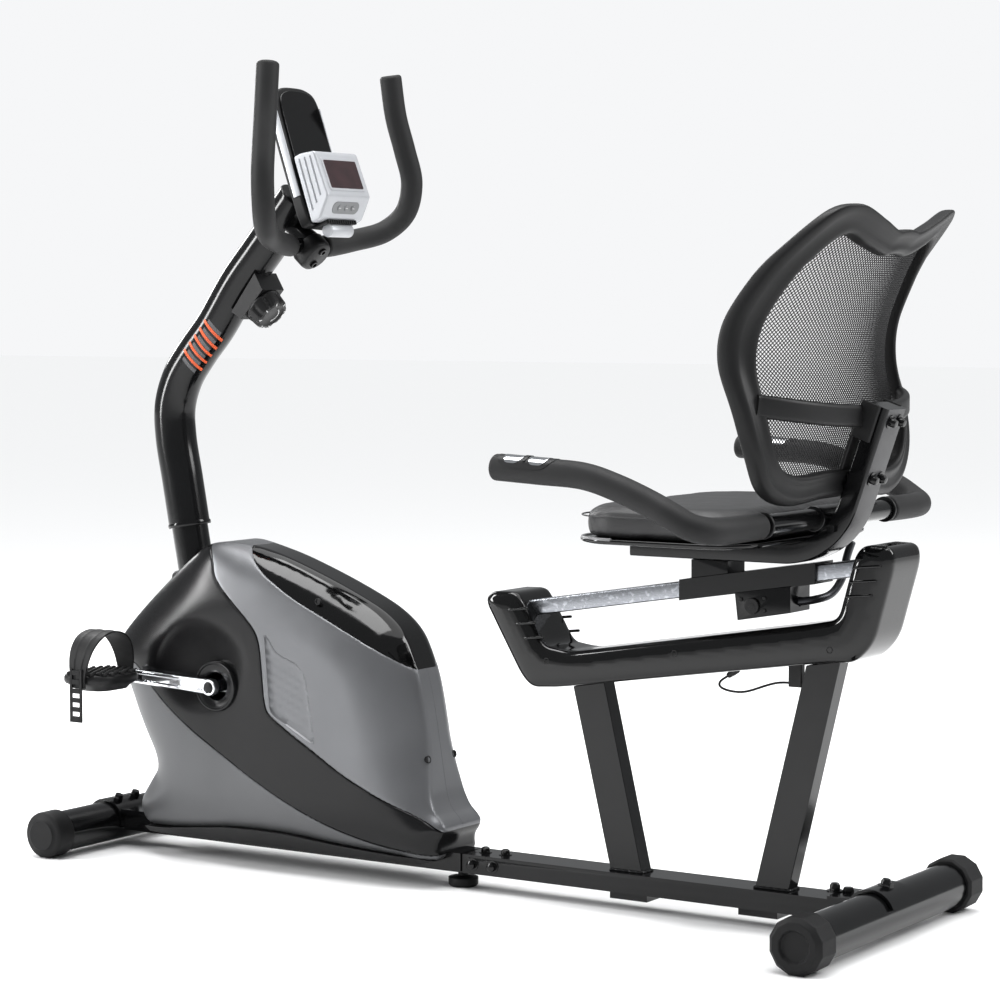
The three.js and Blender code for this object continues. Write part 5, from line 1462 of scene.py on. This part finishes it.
# ---------------------------------------------------------------- cranks and pedals
@dataclass
class Cranks:
    """Crank arms, axle, pedals and straps."""

    centre: tuple = (-955.0, 247.0)
    arm: float = 140.0
    lift: float = 7.0

    def build(self) -> None:
        """Makes both sides."""
        for node, body in (("flywheel", "flywheel"), ("magnet_arm", "magnet_arm"), ("crank_axle", "crank")):
            kept(node, STEEL, body, 0.6)
        kept("drive_belt", RUBBER, "frame", 0.4)
        for side in Side:
            self.arm_piece(side)
            self.pedal(side)

    def end(self, side: Side) -> Array:
        """The pedal spindle's place in the side view."""
        s = -side.value
        return np.array([self.centre[0] - s * self.arm, self.centre[1] + s * self.lift])

    def arm_piece(self, side: Side) -> None:
        """A chromed arm with a groove in its outer face, its boss, eye and spindle."""
        end = self.end(side)
        s = side.value
        t = np.linspace(0, 1, 40)
        line = np.stack([self.centre[0] + (end[0] - self.centre[0]) * t, s * (86.0 + 4.5 * np.sin(t * np.pi / 2)),
                         self.centre[1] + (end[1] - self.centre[1]) * t], 1)
        section = np.array([(-9.5, -3), (-8, -4.5), (8, -4.5), (9.5, -3), (9.5, 3), (8, 4.5), (5, 4.5), (4, 2.2),
                            (-4, 2.2), (-5, 4.5), (-8, 4.5), (-9.5, 3)], float)
        blade = swept(line, section[:, ::-1], (0, 0, 1), np.linspace(1.1, 0.92, 40))
        boss = turned([(0, 79), (9, 79), (11.5, 81), (11.5, 93), (10.5, 95), (8, 95), (7, 93.5), (0, 93.5)],
                      (self.centre[0], 0, self.centre[1]), (0, s, 0), 48)
        eye = turned([(0, 83), (10, 83), (11, 84), (11, 94), (10, 95), (0, 95)], (end[0], 0, end[1]),
                     (0, s, 0), 40)
        spindle = turned([(0, 94), (7, 94), (7, 101), (5, 102), (5, 192), (0, 192)], (end[0], 0, end[1]),
                         (0, s, 0), 24)
        piece = add_piece(f"chromed_arm_{side.word}", together(blade, boss, eye, spindle), 30)
        fitted(eased(piece, 0.5, 2), CHROME, "crank", f"crank_arm_{side.word}")
        cap = turned([(0, 92), (6.6, 92), (6.6, 94.6), (5.4, 95.3), (0, 95.5)],
                     (self.centre[0], 0, self.centre[1]), (0, s, 0), 32)
        fitted(add_piece(f"arm_cap_{side.word}", cap), PLASTIC, "crank")

    def pedal(self, side: Side) -> None:
        """A wide oval platform with rows of studs, and the strap over it."""
        cx, cz = self.end(side)
        s = side.value
        mid = 151.0
        turn = np.linspace(0, 2 * np.pi, 72, endpoint=False)
        oval = np.stack([np.sign(np.cos(turn)) * np.abs(np.cos(turn)) ** 0.62 * 41.5,
                         np.sign(np.sin(turn)) * np.abs(np.sin(turn)) ** 0.62 * 46.5], 1)
        rows = [(0.0, -12), (0.62, -12), (0.70, -11.4), (0.80, -6), (0.96, -2), (1.0, 1), (1.0, 6), (0.97, 9.2),
                (0.90, 10.6), (0.0, 10.6)]
        points = np.array([np.stack([cx + oval[:, 0] * k, s * (mid + oval[:, 1] * k),
                                     np.full(72, cz + h)], 1) for k, h in rows]).reshape(-1, 3)
        body = points, lattice(len(rows), 72, False, True)
        fitted(add_piece(f"pedal_platform_{side.word}", body), PLASTIC, f"pedal_{side.word}",
               f"pedal_{side.word}")
        studs = []
        for i in range(-4, 5):
            for j in range(-4, 5):
                x, y = i * 9.6 + (j % 2) * 4.8 - 2.4, j * 10.0
                if (abs(x) / 38) ** 3 + (abs(y) / 43) ** 3 < 1:
                    studs.append(turned([(0, 0), (3.9, 0), (3.7, 2.4), (2.8, 3.9), (1.4, 4.4), (0, 4.5)],
                                        (cx + x, s * (mid + y), cz + 10.2), (0, 0, 1), 12))
        fitted(add_piece(f"pedal_studs_{side.word}", together(*studs)), RUBBER, f"pedal_{side.word}")
        self.strap(side, cx, cz)

    def strap(self, side: Side, cx: float, cz: float) -> None:
        """A strap that widens over the foot, with two raised lines, and its slotted tail: the arch is a
        smooth line across the pedal, and the strap's width swells along it as a sine.

        Args:
            side: the pedal's side.
            cx: the pedal spindle's x.
            cz: the pedal spindle's z.
        """
        s = side.value
        arch = smooth_line([(102.5, -6), (103, 14), (107, 36), (118, 54), (134, 64), (154, 67), (175, 61),
                            (191, 46), (199, 26), (200.5, 8), (200, -6)], 70)
        tangent = unit(np.gradient(arch, axis=0))
        out = np.stack([-tangent[:, 1], tangent[:, 0]], 1)
        v = np.linspace(-1, 1, 25)
        t = np.linspace(0, 1, 70)
        half = 12 + 10 * np.clip(np.sin(t * np.pi) * 1.35 - 0.25, 0, 1)
        line = 0.7 * np.exp(-((np.abs(v) - 0.42) / 0.07) ** 2)
        x = cx + 2 + half[:, None] * v[None, :]
        layers = []
        for height in (1.1 + line[None, :] * np.ones((70, 1)), -1.1 * np.ones((70, 25))):
            y = s * (arch[:, 0][:, None] + out[:, 0][:, None] * height)
            z = cz + arch[:, 1][:, None] + out[:, 1][:, None] * height
            layers.append(np.stack([x, y, z], -1))
        fitted(add_piece(f"foot_strap_{side.word}", slab(*layers)), RUBBER, f"pedal_{side.word}",
               f"pedal_strap_{side.word}")
        tail = self.slotted(cx, cz, s)
        fitted(add_piece(f"strap_tail_{side.word}", tail), RUBBER, f"pedal_{side.word}")

    @staticmethod
    def slotted(cx: float, cz: float, s: int) -> Surface:
        """The strap's hanging tail: a flat strip with a row of slots, as upright bars and cross bars."""
        y0, y1 = sorted((s * 201.6, s * 203.4))
        top, bottom = cz + 20, cz - 52
        bars = [block(cx + a, cx + b, y0, y1, bottom, top) for a, b in ((-10.5, -6.5), (6.5, 10.5))]
        for k in range(6):
            z = bottom + 5 + k * 12.4
            bars.append(block(cx - 7, cx + 7, y0, y1, z - 5 if k == 0 else z - 3.2, z + 3.2))
        return together(*bars)


# ---------------------------------------------------------------- seat
@dataclass
class Seat:
    """The padded cushion, its pan, the carriage, the lever and the curved back post."""

    x0: float = -335.0
    x1: float = -97.0
    half: float = 185.0
    low: float = 484.6
    high: float = 519.0
    corner: float = 58.0

    def build(self) -> None:
        """Makes the seat's pieces."""
        self.cushion()
        self.pan()
        self.post()
        kept("seat_carriage", POWDER, "seat", 1.2)
        self.carriage_fittings()
        lever = smooth_line([(-132, 0, 400), (-112, 0, 403), (-98, 8, 405), (-86, 32, 411), (-80, 50, 430),
                             (-78, 58, 455), (-74, 64, 474)], 80)
        cam = np.array([-150, 0, 397.3]) + np.linspace(0, 1, 4)[:, None] * np.array([20, 0, 3.0])
        fitted(add_piece("release_lever", together(tube(lever, 5, (0, 1, 0.2), 2.5, 24),
                                                   tube(cam, 8, (0, 1, 0), 0, 24))), LEVER_STEEL,
               "lock_lever", "lock_lever")

    def ring(self, half_x: float, half_y: float, corner: float, steps: int = 10) -> Array:
        """A round cornered plan outline centred on the seat."""
        return squared(half_x, half_y, corner, steps) + np.array([(self.x0 + self.x1) / 2, 0])

    def cushion(self) -> None:
        """A foam pad swollen by a short cloth simulation, then piped along its top edge."""
        cx = (self.x0 + self.x1) / 2
        inset = 2.0
        ring = self.ring((self.x1 - self.x0) / 2 - inset, self.half - inset, self.corner, 14)
        levels = [(0.0, self.low), (0.93, self.low), (0.975, self.low + 1.5), (1.0, self.low + 7),
                  (1.0, self.high - 8), (0.985, self.high - 3.2), (0.955, self.high - 1.2),
                  (0.9, self.high - 0.6), (0.0, self.high - 0.2)]
        rows = []
        for share, z in levels:
            flat = np.array([cx, 0]) + (ring - np.array([cx, 0])) * max(share, 0.0)
            rows.append(np.column_stack([flat, np.full(len(ring), z)]))
        points = np.vstack(rows)
        pad = add_piece("seat_pad", (points, lattice(len(levels), len(ring), False, True)))
        swell(pad, 5.0, 4.0, 5.0)
        fitted(pad, VINYL, "seat", "seat_cushion")
        seam_ring = self.ring((self.x1 - self.x0) / 2 - 0.2, self.half - 0.2, self.corner, 24)
        piping = spaced(seam_ring, 4, True)
        path = np.column_stack([piping, np.full(len(piping), self.high - 8.5)])
        surface = looped(path, circle(1.0, 8), (0, 0, 1))
        fitted(add_piece("pad_seam", surface), VINYL, "seat")

    def pan(self) -> None:
        """The gloss dish under the pad, with a painted highlight along its rolled front lip, laid on as a grey
        tube.
        """
        half_x = (self.x1 - self.x0) / 2
        cx = (self.x0 + self.x1) / 2
        ring = self.ring(half_x + 1.4, self.half + 1.4, self.corner, 14)
        levels = [(0.0, 483.7), (0.955, 483.7), (0.99, 484.0), (1.0, 482.4), (0.998, 479.6), (0.972, 477.4),
                  (0.90, 476.4), (0.80, 475.6), (0.0, 475.4)]
        rows = [np.column_stack([np.array([cx, 0]) + (ring - np.array([cx, 0])) * share,
                                 np.full(len(ring), z)]) for share, z in levels]
        fitted(add_piece("seat_dish", (np.vstack(rows), lattice(len(levels), len(ring), False, True)), 60),
               GLOSS, "seat", "seat_pan")
        # a grey tube along the front lip carries a painted highlight on the gloss dish's rolled edge
        lip = spaced(self.ring(half_x - 0.5, self.half - 0.5, self.corner, 20), 4, True)
        path = np.column_stack([lip, np.full(len(lip), 483.2)])
        path = path[path[:, 0] < self.x0 + 70]
        start = np.argmin(path[:, 1])
        path = np.roll(path, -start, 0)
        gap = np.argmax(np.linalg.norm(np.diff(np.vstack([path, path[:1]]), axis=0), axis=1))
        path = np.roll(path, -(gap + 1), 0)
        fitted(add_piece("seat_front_lip_highlight", tube(path, 2.3, (0, 0, 1), 2.0, 16)), DISH_LIP_HIGHLIGHT, "seat")

    def post(self) -> None:
        """The box section back post: flat under the seat, then bent up behind it."""
        lean = math.radians(90 - 19.2)
        turn = np.linspace(0, lean, 40)
        centre = np.array([-125.0, 555.0])
        arc = np.stack([centre[0] + 92.5 * np.sin(turn), centre[1] - 92.5 * np.cos(turn)], 1)
        start = np.stack([np.linspace(-337, -128, 24), np.full(24, 462.5)], 1)
        climb = (643 - arc[-1, 1]) / math.sin(lean)
        rise = arc[-1] + np.linspace(0.04, 1, 20)[:, None] * climb * np.array([math.cos(lean), math.sin(lean)])
        line = np.vstack([start, arc, rise])
        path = np.column_stack([line[:, 0], np.zeros(len(line)), line[:, 1]])
        fitted(add_piece("back_post_tube", swept(path, squared(12.5, 25, 3.0), (0, 1, 0)), 30), POWDER, "seat",
               "back_post")
        # a thin strip on the post's rear face carries painted light, lighter than the rest of the same black tube
        tangent = unit(np.gradient(path, axis=0))
        out = np.stack([tangent[:, 2], np.zeros(len(path)), -tangent[:, 0]], 1)
        face = path[44:] + 12.25 * out[44:]
        fitted(add_piece("post_rear_painted_light", swept(face, squared(0.45, 22.4, 0.3), (0, 1, 0)), 30), POST_LIT_FACE_PAINT,
               "seat")
        bolts = []
        for share in (0.30, 0.88):
            at = arc[-1] + share * climb * np.array([math.cos(lean), math.sin(lean)])
            for y in (-11.5, 11.5):
                bolts.append(turned([(0, 11), (8.4, 11), (8.4, 14.2), (5.6, 14.4), (5.6, 19), (4.4, 22), (0, 22.6)],
                                    (at[0], y, at[1]), (math.sin(lean), 0, -math.cos(lean)), 24))
        fitted(add_piece("post_bolts", together(*bolts)), POWDER, "seat")
        bar = np.array([-78.0, 0, 507]) + np.linspace(-34, 34, 6)[:, None] * np.array([0, 1, 0])
        straps = together(block(-62, -52, -30, 30, 492, 500), tube(bar, 15.5, (0, 0, 1), 1.0, 32))
        fitted(add_piece("bar_saddle", straps), POWDER, "seat")

    def carriage_fittings(self) -> None:
        """The lock box's pin disc, its ring and screws."""
        disc = [(0, 24), (9.5, 24), (10, 27), (9.6, 29.6), (8.2, 29.8), (7.6, 28.4), (4.6, 28.2), (4.2, 30.2),
                (0, 30.6)]
        parts = [turned(disc, (-163, 0, 397), (0, -1, 0), 40)]
        for x, z in ((-179, 404), (-147, 392), (-147, 407)):
            screw = [(0, 24), (2.6, 24), (2.6, 27), (1.9, 27.8), (0, 27.8)]
            parts.append(turned(screw, (x, 0, z), (0, -1, 0), 12))
        fitted(add_piece("lock_box_disc", together(*parts)), PLASTIC, "seat")


def looped(path: Array, profile: Array, up: Sequence[float]) -> Surface:
    """A closed ring with a constant cross-section: the profile carried round a closed path.

    Args:
        path: the closed centre line.
        profile: the cross-section as [side, lift] pairs.
        up: a direction that the path never follows.

    Returns:
        The ring.
    """
    tangent = unit(np.roll(path, -1, 0) - np.roll(path, 1, 0))
    side = unit(np.cross(np.asarray(up, float)[None, :], tangent))
    lift = np.cross(tangent, side)
    points = path[:, None] + profile[None, :, :1] * side[:, None] + profile[None, :, 1:] * lift[:, None]
    return points.reshape(-1, 3), lattice(len(path), len(profile), True, True)


def swell(piece: bpy.types.Object, voxel: float, pressure: float, cap: float) -> None:
    """Pads a closed shape: a voxel remesh, 20 frames of cloth under pressure, a cap on how far each
    point moves, and one subdivision.

    Args:
        piece: the piece, changed in place.
        voxel: the remesh size in millimetres.
        pressure: the cloth's inner pressure.
        cap: the farthest that a point may move, in millimetres.
    """
    scene = bpy.context.scene
    remesh = piece.modifiers.new("even", "REMESH")
    remesh.mode = "VOXEL"
    remesh.voxel_size = voxel * MM
    bake(piece)
    rest = coordinates(piece)
    cloth = piece.modifiers.new("foam", "CLOTH")
    cloth.settings.use_pressure = True
    cloth.settings.uniform_pressure_force = pressure
    cloth.settings.effector_weights.gravity = 0
    cloth.settings.quality = 4
    cloth.settings.tension_stiffness = 40
    cloth.settings.compression_stiffness = 40
    cloth.point_cache.frame_start, cloth.point_cache.frame_end = 1, 20
    for number in range(1, 21):
        scene.frame_set(number)
    bake(piece)
    scene.frame_set(1)
    move = coordinates(piece) - rest
    length = np.linalg.norm(move, axis=1, keepdims=True)
    limit = cap * MM
    points = rest + move * np.minimum(1, limit / np.maximum(length, 1e-9))
    points[:, 2] = np.maximum(points[:, 2], rest[:, 2].min())
    piece.data.vertices.foreach_set("co", points.astype(np.float32).ravel())
    piece.data.update()
    smooth = piece.modifiers.new("finer", "SUBSURF")
    smooth.levels = smooth.render_levels = 1
    bake(piece)
    piece.data.shade_smooth()


def coordinates(piece: bpy.types.Object) -> Array:
    """A piece's points as an array."""
    flat = np.zeros(len(piece.data.vertices) * 3, np.float32)
    piece.data.vertices.foreach_get("co", flat)
    return flat.reshape(-1, 3).astype(float)


def bake(piece: bpy.types.Object) -> None:
    """Applies a piece's modifiers to its mesh."""
    depsgraph = bpy.context.evaluated_depsgraph_get()
    made = bpy.data.meshes.new_from_object(piece.evaluated_get(depsgraph))
    piece.modifiers.clear()
    piece.data = made


# ---------------------------------------------------------------- backrest
@dataclass
class Backrest:
    """The moulded frame, the woven mesh and the lumbar bar and strap."""

    heights: tuple = (500, 548.75, 597.5, 646.25, 695, 743.75, 792.5, 841.25, 890)
    depths: tuple = (-52, -42, -32, -25, -23, -13, 6, 28, 52)
    rim: list = field(default_factory=lambda: [
        (24, 849), (70, 862), (128, 878), (158, 870), (188, 818), (208, 760), (216, 700), (214, 640),
        (205, 590), (182, 548), (138, 529), (60, 533)])
    opening: list = field(default_factory=lambda: [
        (24, 820), (76, 832), (118, 843), (150, 811), (174, 752), (183, 702), (183, 650), (174, 600),
        (157, 574), (124, 564), (40, 567)])

    def rear(self, y: Array, z: Array) -> Array:
        """x of the rear surface: a spine curve, drawn forward by the square of y."""
        spine = smooth_line(list(zip(self.heights, self.depths)), 200)
        middle = np.interp(z, spine[:, 0], spine[:, 1])
        share = (z - 500) / 390
        low, top = self.ease((share - 0.1) / 0.55), self.ease((share - 0.75) / 0.25)
        return middle - (80 - 55 * (1 - low) - 24 * top) * (y / 220.0) ** 2

    @staticmethod
    def ease(share: Array) -> Array:
        """A smooth step: 3 u squared less 2 u cubed, with u kept between 0 and 1."""
        u = np.clip(share, 0, 1)
        return u * u * (3 - 2 * u)

    @staticmethod
    def closed_curve(right: Sequence, count: int) -> Array:
        """A closed curve through right-hand points and their mirror images."""
        p = np.array(right, float)
        return smooth_line(np.vstack([p, p[::-1] * np.array([-1, 1])]), count, True)

    def by_angle(self, right: Sequence, angles: Array, centre: Array) -> Array:
        """The radius of a closed curve about a centre, at each angle."""
        curve = self.closed_curve(right, 900) - centre
        angle = np.arctan2(curve[:, 1], curve[:, 0])
        order = np.argsort(angle)
        return np.interp(angles, angle[order], np.linalg.norm(curve[order], axis=1), period=2 * np.pi)

    def build(self) -> None:
        """Makes the backrest's pieces."""
        self.frame_piece()
        self.lumbar_bar()
        upper = self.closed_curve([(24, 824), (80, 836), (122, 848), (156, 812), (180, 750), (189, 702),
                                   (188, 652), (120, 640), (40, 634)], 200)
        lower = self.closed_curve([(20, 628), (120, 630), (180, 640), (178, 600), (160, 570), (126, 560),
                                   (20, 562)], 200)
        fitted(add_piece("back_mesh_weave", self.weave(upper, 5.0, 3.9), 80), CLOTH, "seat", "backrest_mesh")
        fitted(add_piece("lumbar_mesh_weave", self.weave(lower, 5.0, 3.9), 80), CLOTH, "seat", "lumbar_mesh")
        self.bracket()

    def frame_piece(self) -> None:
        """The moulded ring: at each angle a rounded box section between the opening and the rim."""
        centre = np.array([0.0, 700.0])
        angles = np.linspace(-np.pi, np.pi, 240, endpoint=False)
        outer = self.by_angle(self.rim, angles, centre)
        inner = self.by_angle(self.opening, angles, centre)
        turn = np.linspace(0, 2 * np.pi, 36, endpoint=False)
        across = 0.5 + 0.5 * np.sign(np.cos(turn)) * np.abs(np.cos(turn)) ** 0.55
        deep = 0.5 - 0.5 * np.sign(np.sin(turn)) * np.abs(np.sin(turn)) ** 0.55
        radius = inner[:, None] + (outer - inner)[:, None] * across[None, :]
        y = centre[0] + radius * np.cos(angles)[:, None]
        z = centre[1] + radius * np.sin(angles)[:, None]
        lip = np.clip((z - 815) / 50, 0, 1) * (across[None, :] ** 2)
        hollow = 4.0 * np.exp(-((across[None, :] - 0.45) / 0.2) ** 2) * (deep[None, :] < 0.5)
        x = self.rear(y, z) - 24.0 * deep[None, :] + 6.0 * lip - hollow
        points = np.stack([x, y, z], -1).reshape(-1, 3)
        fitted(add_piece("backrest_ring", (points, lattice(240, 36, True, True)), 60), BACK_PLASTIC, "seat",
               "backrest_frame")

    def lumbar_bar(self) -> None:
        """The bar across the back: a flat oval section that bows out behind the mesh."""
        y = np.linspace(-193, 193, 120)
        z = 631 + 16.0 * (y / 193) ** 2
        bow = 2 + 14 * np.clip(1 - (np.abs(y) / 190) ** 6, 0, 1)
        x = self.rear(y, z) - 9 + bow
        path = np.stack([x, y, z], 1)
        fitted(add_piece("lumbar_bar", swept(path, squared(6.0, 13.5, 5.5, 6), (0, 0, 1)), 50),
               BACK_PLASTIC, "seat")

    def weave(self, outline: Array, pitch: float, hole: float) -> Surface:
        """A woven sheet: rows of diamonds, each with a diamond hole, on the surface in front of the rim.

        Args:
            outline: the sheet's edge as (y, z).
            pitch: the spacing of the holes.
            hole: a hole's width, corner to corner.

        Returns:
            The closed sheet.
        """
        low, high = outline.min(0), outline.max(0)
        ny, nz = int((high[0] - low[0]) / pitch) + 3, int((high[1] - low[1]) / pitch) + 3
        i, j = np.meshgrid(np.arange(ny), np.arange(nz), indexing="ij")
        centres = []
        for shift in (0.0, 0.5):
            y = low[0] + (i + shift) * pitch - pitch / 2
            z = low[1] + (j + shift) * pitch - pitch / 2
            centres.append(np.stack([y, z], -1).reshape(-1, 2))
        cells = np.vstack(centres)
        cells = cells[inside(cells, outline)]
        corners = np.array([(0.5, 0), (0, 0.5), (-0.5, 0), (0, -0.5)])
        outer = cells[:, None] + corners * pitch
        inner = cells[:, None] + corners * hole
        flat = np.concatenate([outer, inner], 1).reshape(-1, 2)
        n = len(cells)
        base = np.arange(n)[:, None] * 8
        quads = []
        for k in range(4):
            nxt = (k + 1) % 4
            quads.append(np.hstack([base + k, base + nxt, base + 4 + nxt, base + 4 + k]))
        quads = np.vstack(quads)
        x = self.rear(flat[:, 0], flat[:, 1]) - 18.0
        front = np.column_stack([x, flat])
        points, faces = welded(front, quads.tolist())
        faces = np.array(faces)
        triangles = np.vstack([faces[:, [0, 1, 2]], faces[:, [0, 2, 3]]])
        a, b, c = (points[triangles[0, k]] for k in range(3))
        if np.cross(b - a, c - a)[0] < 0:
            triangles = triangles[:, ::-1]
        return shell(points, triangles, 0.9)

    def bracket(self) -> None:
        """The bracket that joins the lumbar bar and the ring to the back post."""
        lean = math.radians(19.2)
        u = np.array([math.sin(lean), math.cos(lean)])
        foot = np.array([-37.0, 545.0])
        parts = []
        for y in (-28.5, 28.5):
            line = foot + np.linspace(62, 108, 12)[:, None] * u
            path = np.column_stack([line[:, 0] - 3, np.full(12, y), line[:, 1]])
            parts.append(swept(path, squared(13, 2.8, 2.5), (0, 1, 0)))
        spine_line = foot + np.linspace(-6, 96, 20)[:, None] * u
        path = np.column_stack([spine_line[:, 0] - 17, np.zeros(20), spine_line[:, 1]])
        parts.append(swept(path, squared(2.6, 27, 2.0), (0, 1, 0)))
        fitted(eased(add_piece("back_bracket", together(*parts)), 1.6), BACK_PLASTIC, "seat")


@dataclass
class SeatHandlebar:
    """The tube round the seat, its foam grips and the pulse plates."""

    half_line: list = field(default_factory=lambda: [
        (-356, -300, 573), (-300, -300, 570), (-236, -300, 566), (-192, -300, 554), (-148, -300, 537),
        (-122, -300, 525), (-100, -295, 513), (-85, -280, 508), (-79, -255, 507), (-78, -170, 507)])

    def build(self) -> None:
        """Makes the tube and each side's grip, plates and end ring."""
        left = np.array(self.half_line, float)
        across = np.array([(-78, y, 507) for y in (-85, 0, 85)], float)
        whole = smooth_line(np.vstack([left, across, left[::-1] * [1, -1, 1]]), 240)
        fitted(add_piece("seat_bar_tube", tube(whole[2:-2], 12.5, (0, 0, 1), 0, 32)), POWDER, "seat",
               "seat_handlebar")
        for side in Side:
            flip = np.array([1, -side.value, 1])
            line = left * flip
            full = smooth_line(line, 400)
            stop = np.flatnonzero(np.abs(full[:, 1]) > 165.5)
            path = full[stop][::3]
            path = np.vstack([path[0] + (path[0] - path[1]) * 1.2, path])
            fitted(add_piece(f"seat_grip_foam_{side.word}", tube(path, 15.8, (0, 0, 1), 4.5, 40)), FOAM, "seat",
                   f"seat_grip_{side.word}")
            ring = turned([(12.6, -2), (15.6, -2), (16, -1.4), (16, 1.4), (15.6, 2), (12.6, 2), (12.6, -2)],
                          (-78, side.value * 163.2, 507), (0, 1, 0), 48)
            fitted(add_piece(f"grip_end_ring_{side.word}", ring), PLASTIC, "seat")
            self.plates(side, full)

    def plates(self, side: Side, line: Array) -> None:
        """Two chromed half shells on top of the grip with a dark bridge between them.

        Args:
            side: the grip's side.
            line: the grip's centre line.
        """
        chrome = together(self.half_shell(line, -342, -314, 62, 1.0), self.half_shell(line, -308, -281, 62, 1.0))
        surround = self.half_shell(line, -351, -272, 84, 0.55)
        bridge = self.half_shell(line, -315, -307, 50, 1.7)
        fitted(add_piece(f"pulse_plates_{side.word}", chrome, 50), CHROME, "seat", f"pulse_sensor_{side.word}")
        fitted(add_piece(f"pulse_surround_{side.word}", surround, 50), PLASTIC, "seat")
        fitted(add_piece(f"pulse_bridge_{side.word}", bridge, 50), PLASTIC, "seat")

    @staticmethod
    def half_shell(line: Array, x0: float, x1: float, reach: float, lift: float) -> Surface:
        """A thin shell on top of the grip: the foam's radius plus a lift, turned through an angle either
        side of the top, and narrower towards its two ends.

        Args:
            line: the grip's centre line.
            x0: where the shell starts.
            x1: where it ends.
            reach: the angle to each side in degrees.
            lift: how far it stands off the foam.

        Returns:
            The closed shell.
        """
        keep = line[(line[:, 0] > x0) & (line[:, 0] < x1)][::2]
        wide = np.radians(reach) * np.sqrt(np.clip(1 - np.abs(np.linspace(-1, 1, len(keep))) ** 4, 0.12, 1))
        tangent = unit(np.gradient(keep, axis=0))
        across = unit(np.cross([0.0, 0.0, 1.0], tangent))
        up = np.cross(tangent, across)
        angle = wide[:, None] * np.linspace(-1, 1, 20)[None, :]
        normal = np.sin(angle)[..., None] * across[:, None] + np.cos(angle)[..., None] * up[:, None]
        normal = np.where(up[:, None, 2:] < 0, -normal, normal)
        return slab(keep[:, None] + (15.8 + lift) * normal, keep[:, None] + 15.2 * normal)


# ---------------------------------------------------------------- light, floor and camera
@dataclass
class Studio:
    """A pale floor, soft light from all round and the camera."""

    camera_at: tuple = (2.078522, -3.124583, 0.761423)
    azimuth: float = 33.002
    elevation: float = 3.852
    lens: float = 103.885
    fill: float = 0.40
    backdrop: float = 1.0

    def camera(self) -> None:
        """The camera, looking level along its azimuth and down by its elevation."""
        data = bpy.data.cameras.new("view")
        data.sensor_width = 36.0
        data.lens = self.lens
        data.clip_end = 60.0
        made = bpy.data.objects.new("view", data)
        made.location = self.camera_at
        made.rotation_euler = (math.radians(90 - self.elevation), 0.0, math.radians(self.azimuth))
        bpy.context.scene.collection.objects.link(made)
        bpy.context.scene.camera = made

    def stage(self) -> None:
        """The floor, the world and the soft boxes."""
        bpy.ops.mesh.primitive_plane_add(size=60, location=(0, 0, 0))
        floor = bpy.context.object
        floor.name = "studio_floor"
        paint = bpy.data.materials.new("pale_floor")
        paint.use_nodes = True
        shader = paint.node_tree.nodes["Principled BSDF"]
        shader.inputs["Base Color"].default_value = (0.92, 0.92, 0.92, 1)
        shader.inputs["Roughness"].default_value = 1.0
        shader.inputs["Specular IOR Level"].default_value = 0.0
        floor.data.materials.append(paint)
        world = bpy.data.worlds.new("studio")
        bpy.context.scene.world = world
        world.use_nodes = True
        tree = world.node_tree
        sky = tree.nodes["Background"]
        sky.inputs["Color"].default_value = (0.96, 0.98, 1.0, 1)
        sky.inputs["Strength"].default_value = self.fill
        backdrop = tree.nodes.new("ShaderNodeBackground")
        backdrop.inputs["Color"].default_value = (0.93, 0.935, 0.945, 1)
        backdrop.inputs["Strength"].default_value = self.backdrop
        seen = tree.nodes.new("ShaderNodeLightPath")
        mix = tree.nodes.new("ShaderNodeMixShader")
        tree.links.new(seen.outputs["Is Camera Ray"], mix.inputs[0])
        tree.links.new(sky.outputs[0], mix.inputs[1])
        tree.links.new(backdrop.outputs[0], mix.inputs[2])
        tree.links.new(mix.outputs[0], tree.nodes["World Output"].inputs["Surface"])
        bpy.context.scene.view_settings.view_transform = "Standard"
        bpy.context.scene.view_settings.gamma = 0.9
        self.sun()
        self.softbox("left_strip", (-2.6, -2.0, 1.6), (-0.4, 0, 0.5), (0.5, 2.4), 85)
        self.softbox("front_strip", (-3.0, 1.2, 2.2), (-0.3, 0, 0.6), (0.8, 2.2), 60)
        self.softbox("rear_box", (3.0, 1.5, 2.4), (0.2, 0, 0.5), (1.4, 1.8), 70)
        self.softbox("overhead", (-0.1, -0.3, 3.0), (0, 0, 0.4), (2.6, 1.3), 60)

    def sun(self) -> None:
        """A very soft sun from above that lights the floor evenly out to the horizon."""
        data = bpy.data.lights.new("even_top", "SUN")
        data.energy = 1.95
        data.angle = math.radians(70)
        made = bpy.data.objects.new("even_top", data)
        made.rotation_euler = (math.radians(-12), math.radians(8), 0)
        bpy.context.scene.collection.objects.link(made)

    def softbox(self, name: str, at: Sequence, aim: Sequence, size: tuple[float, float], power: float) -> None:
        """One oblong area light aimed at a point.

        Args:
            name: the light's name.
            at: where it stands.
            aim: the point that it faces.
            size: its width and height.
            power: its power in watts.
        """
        data = bpy.data.lights.new(name, "AREA")
        data.shape = "RECTANGLE"
        data.size, data.size_y = size
        data.energy = power
        made = bpy.data.objects.new(name, data)
        made.location = at
        made.rotation_euler = (Vector(aim) - Vector(at)).to_track_quat("-Z", "Y").to_euler()
        bpy.context.scene.collection.objects.link(made)


def main() -> None:
    """Builds the scene in order."""
    logging.basicConfig(level=logging.INFO)
    studio = Studio()
    studio.camera()
    for assembly in (SensorCable(), DriveCovers(), Base(), Mast(), RailHousing(), Handlebar(), Console(), Knob(),
                     Cranks(), Seat(), Backrest(), SeatHandlebar()):
        assembly.build()
        log.info("built %s", type(assembly).__name__)
    studio.stage()


if __name__ == "__main__":
    main()
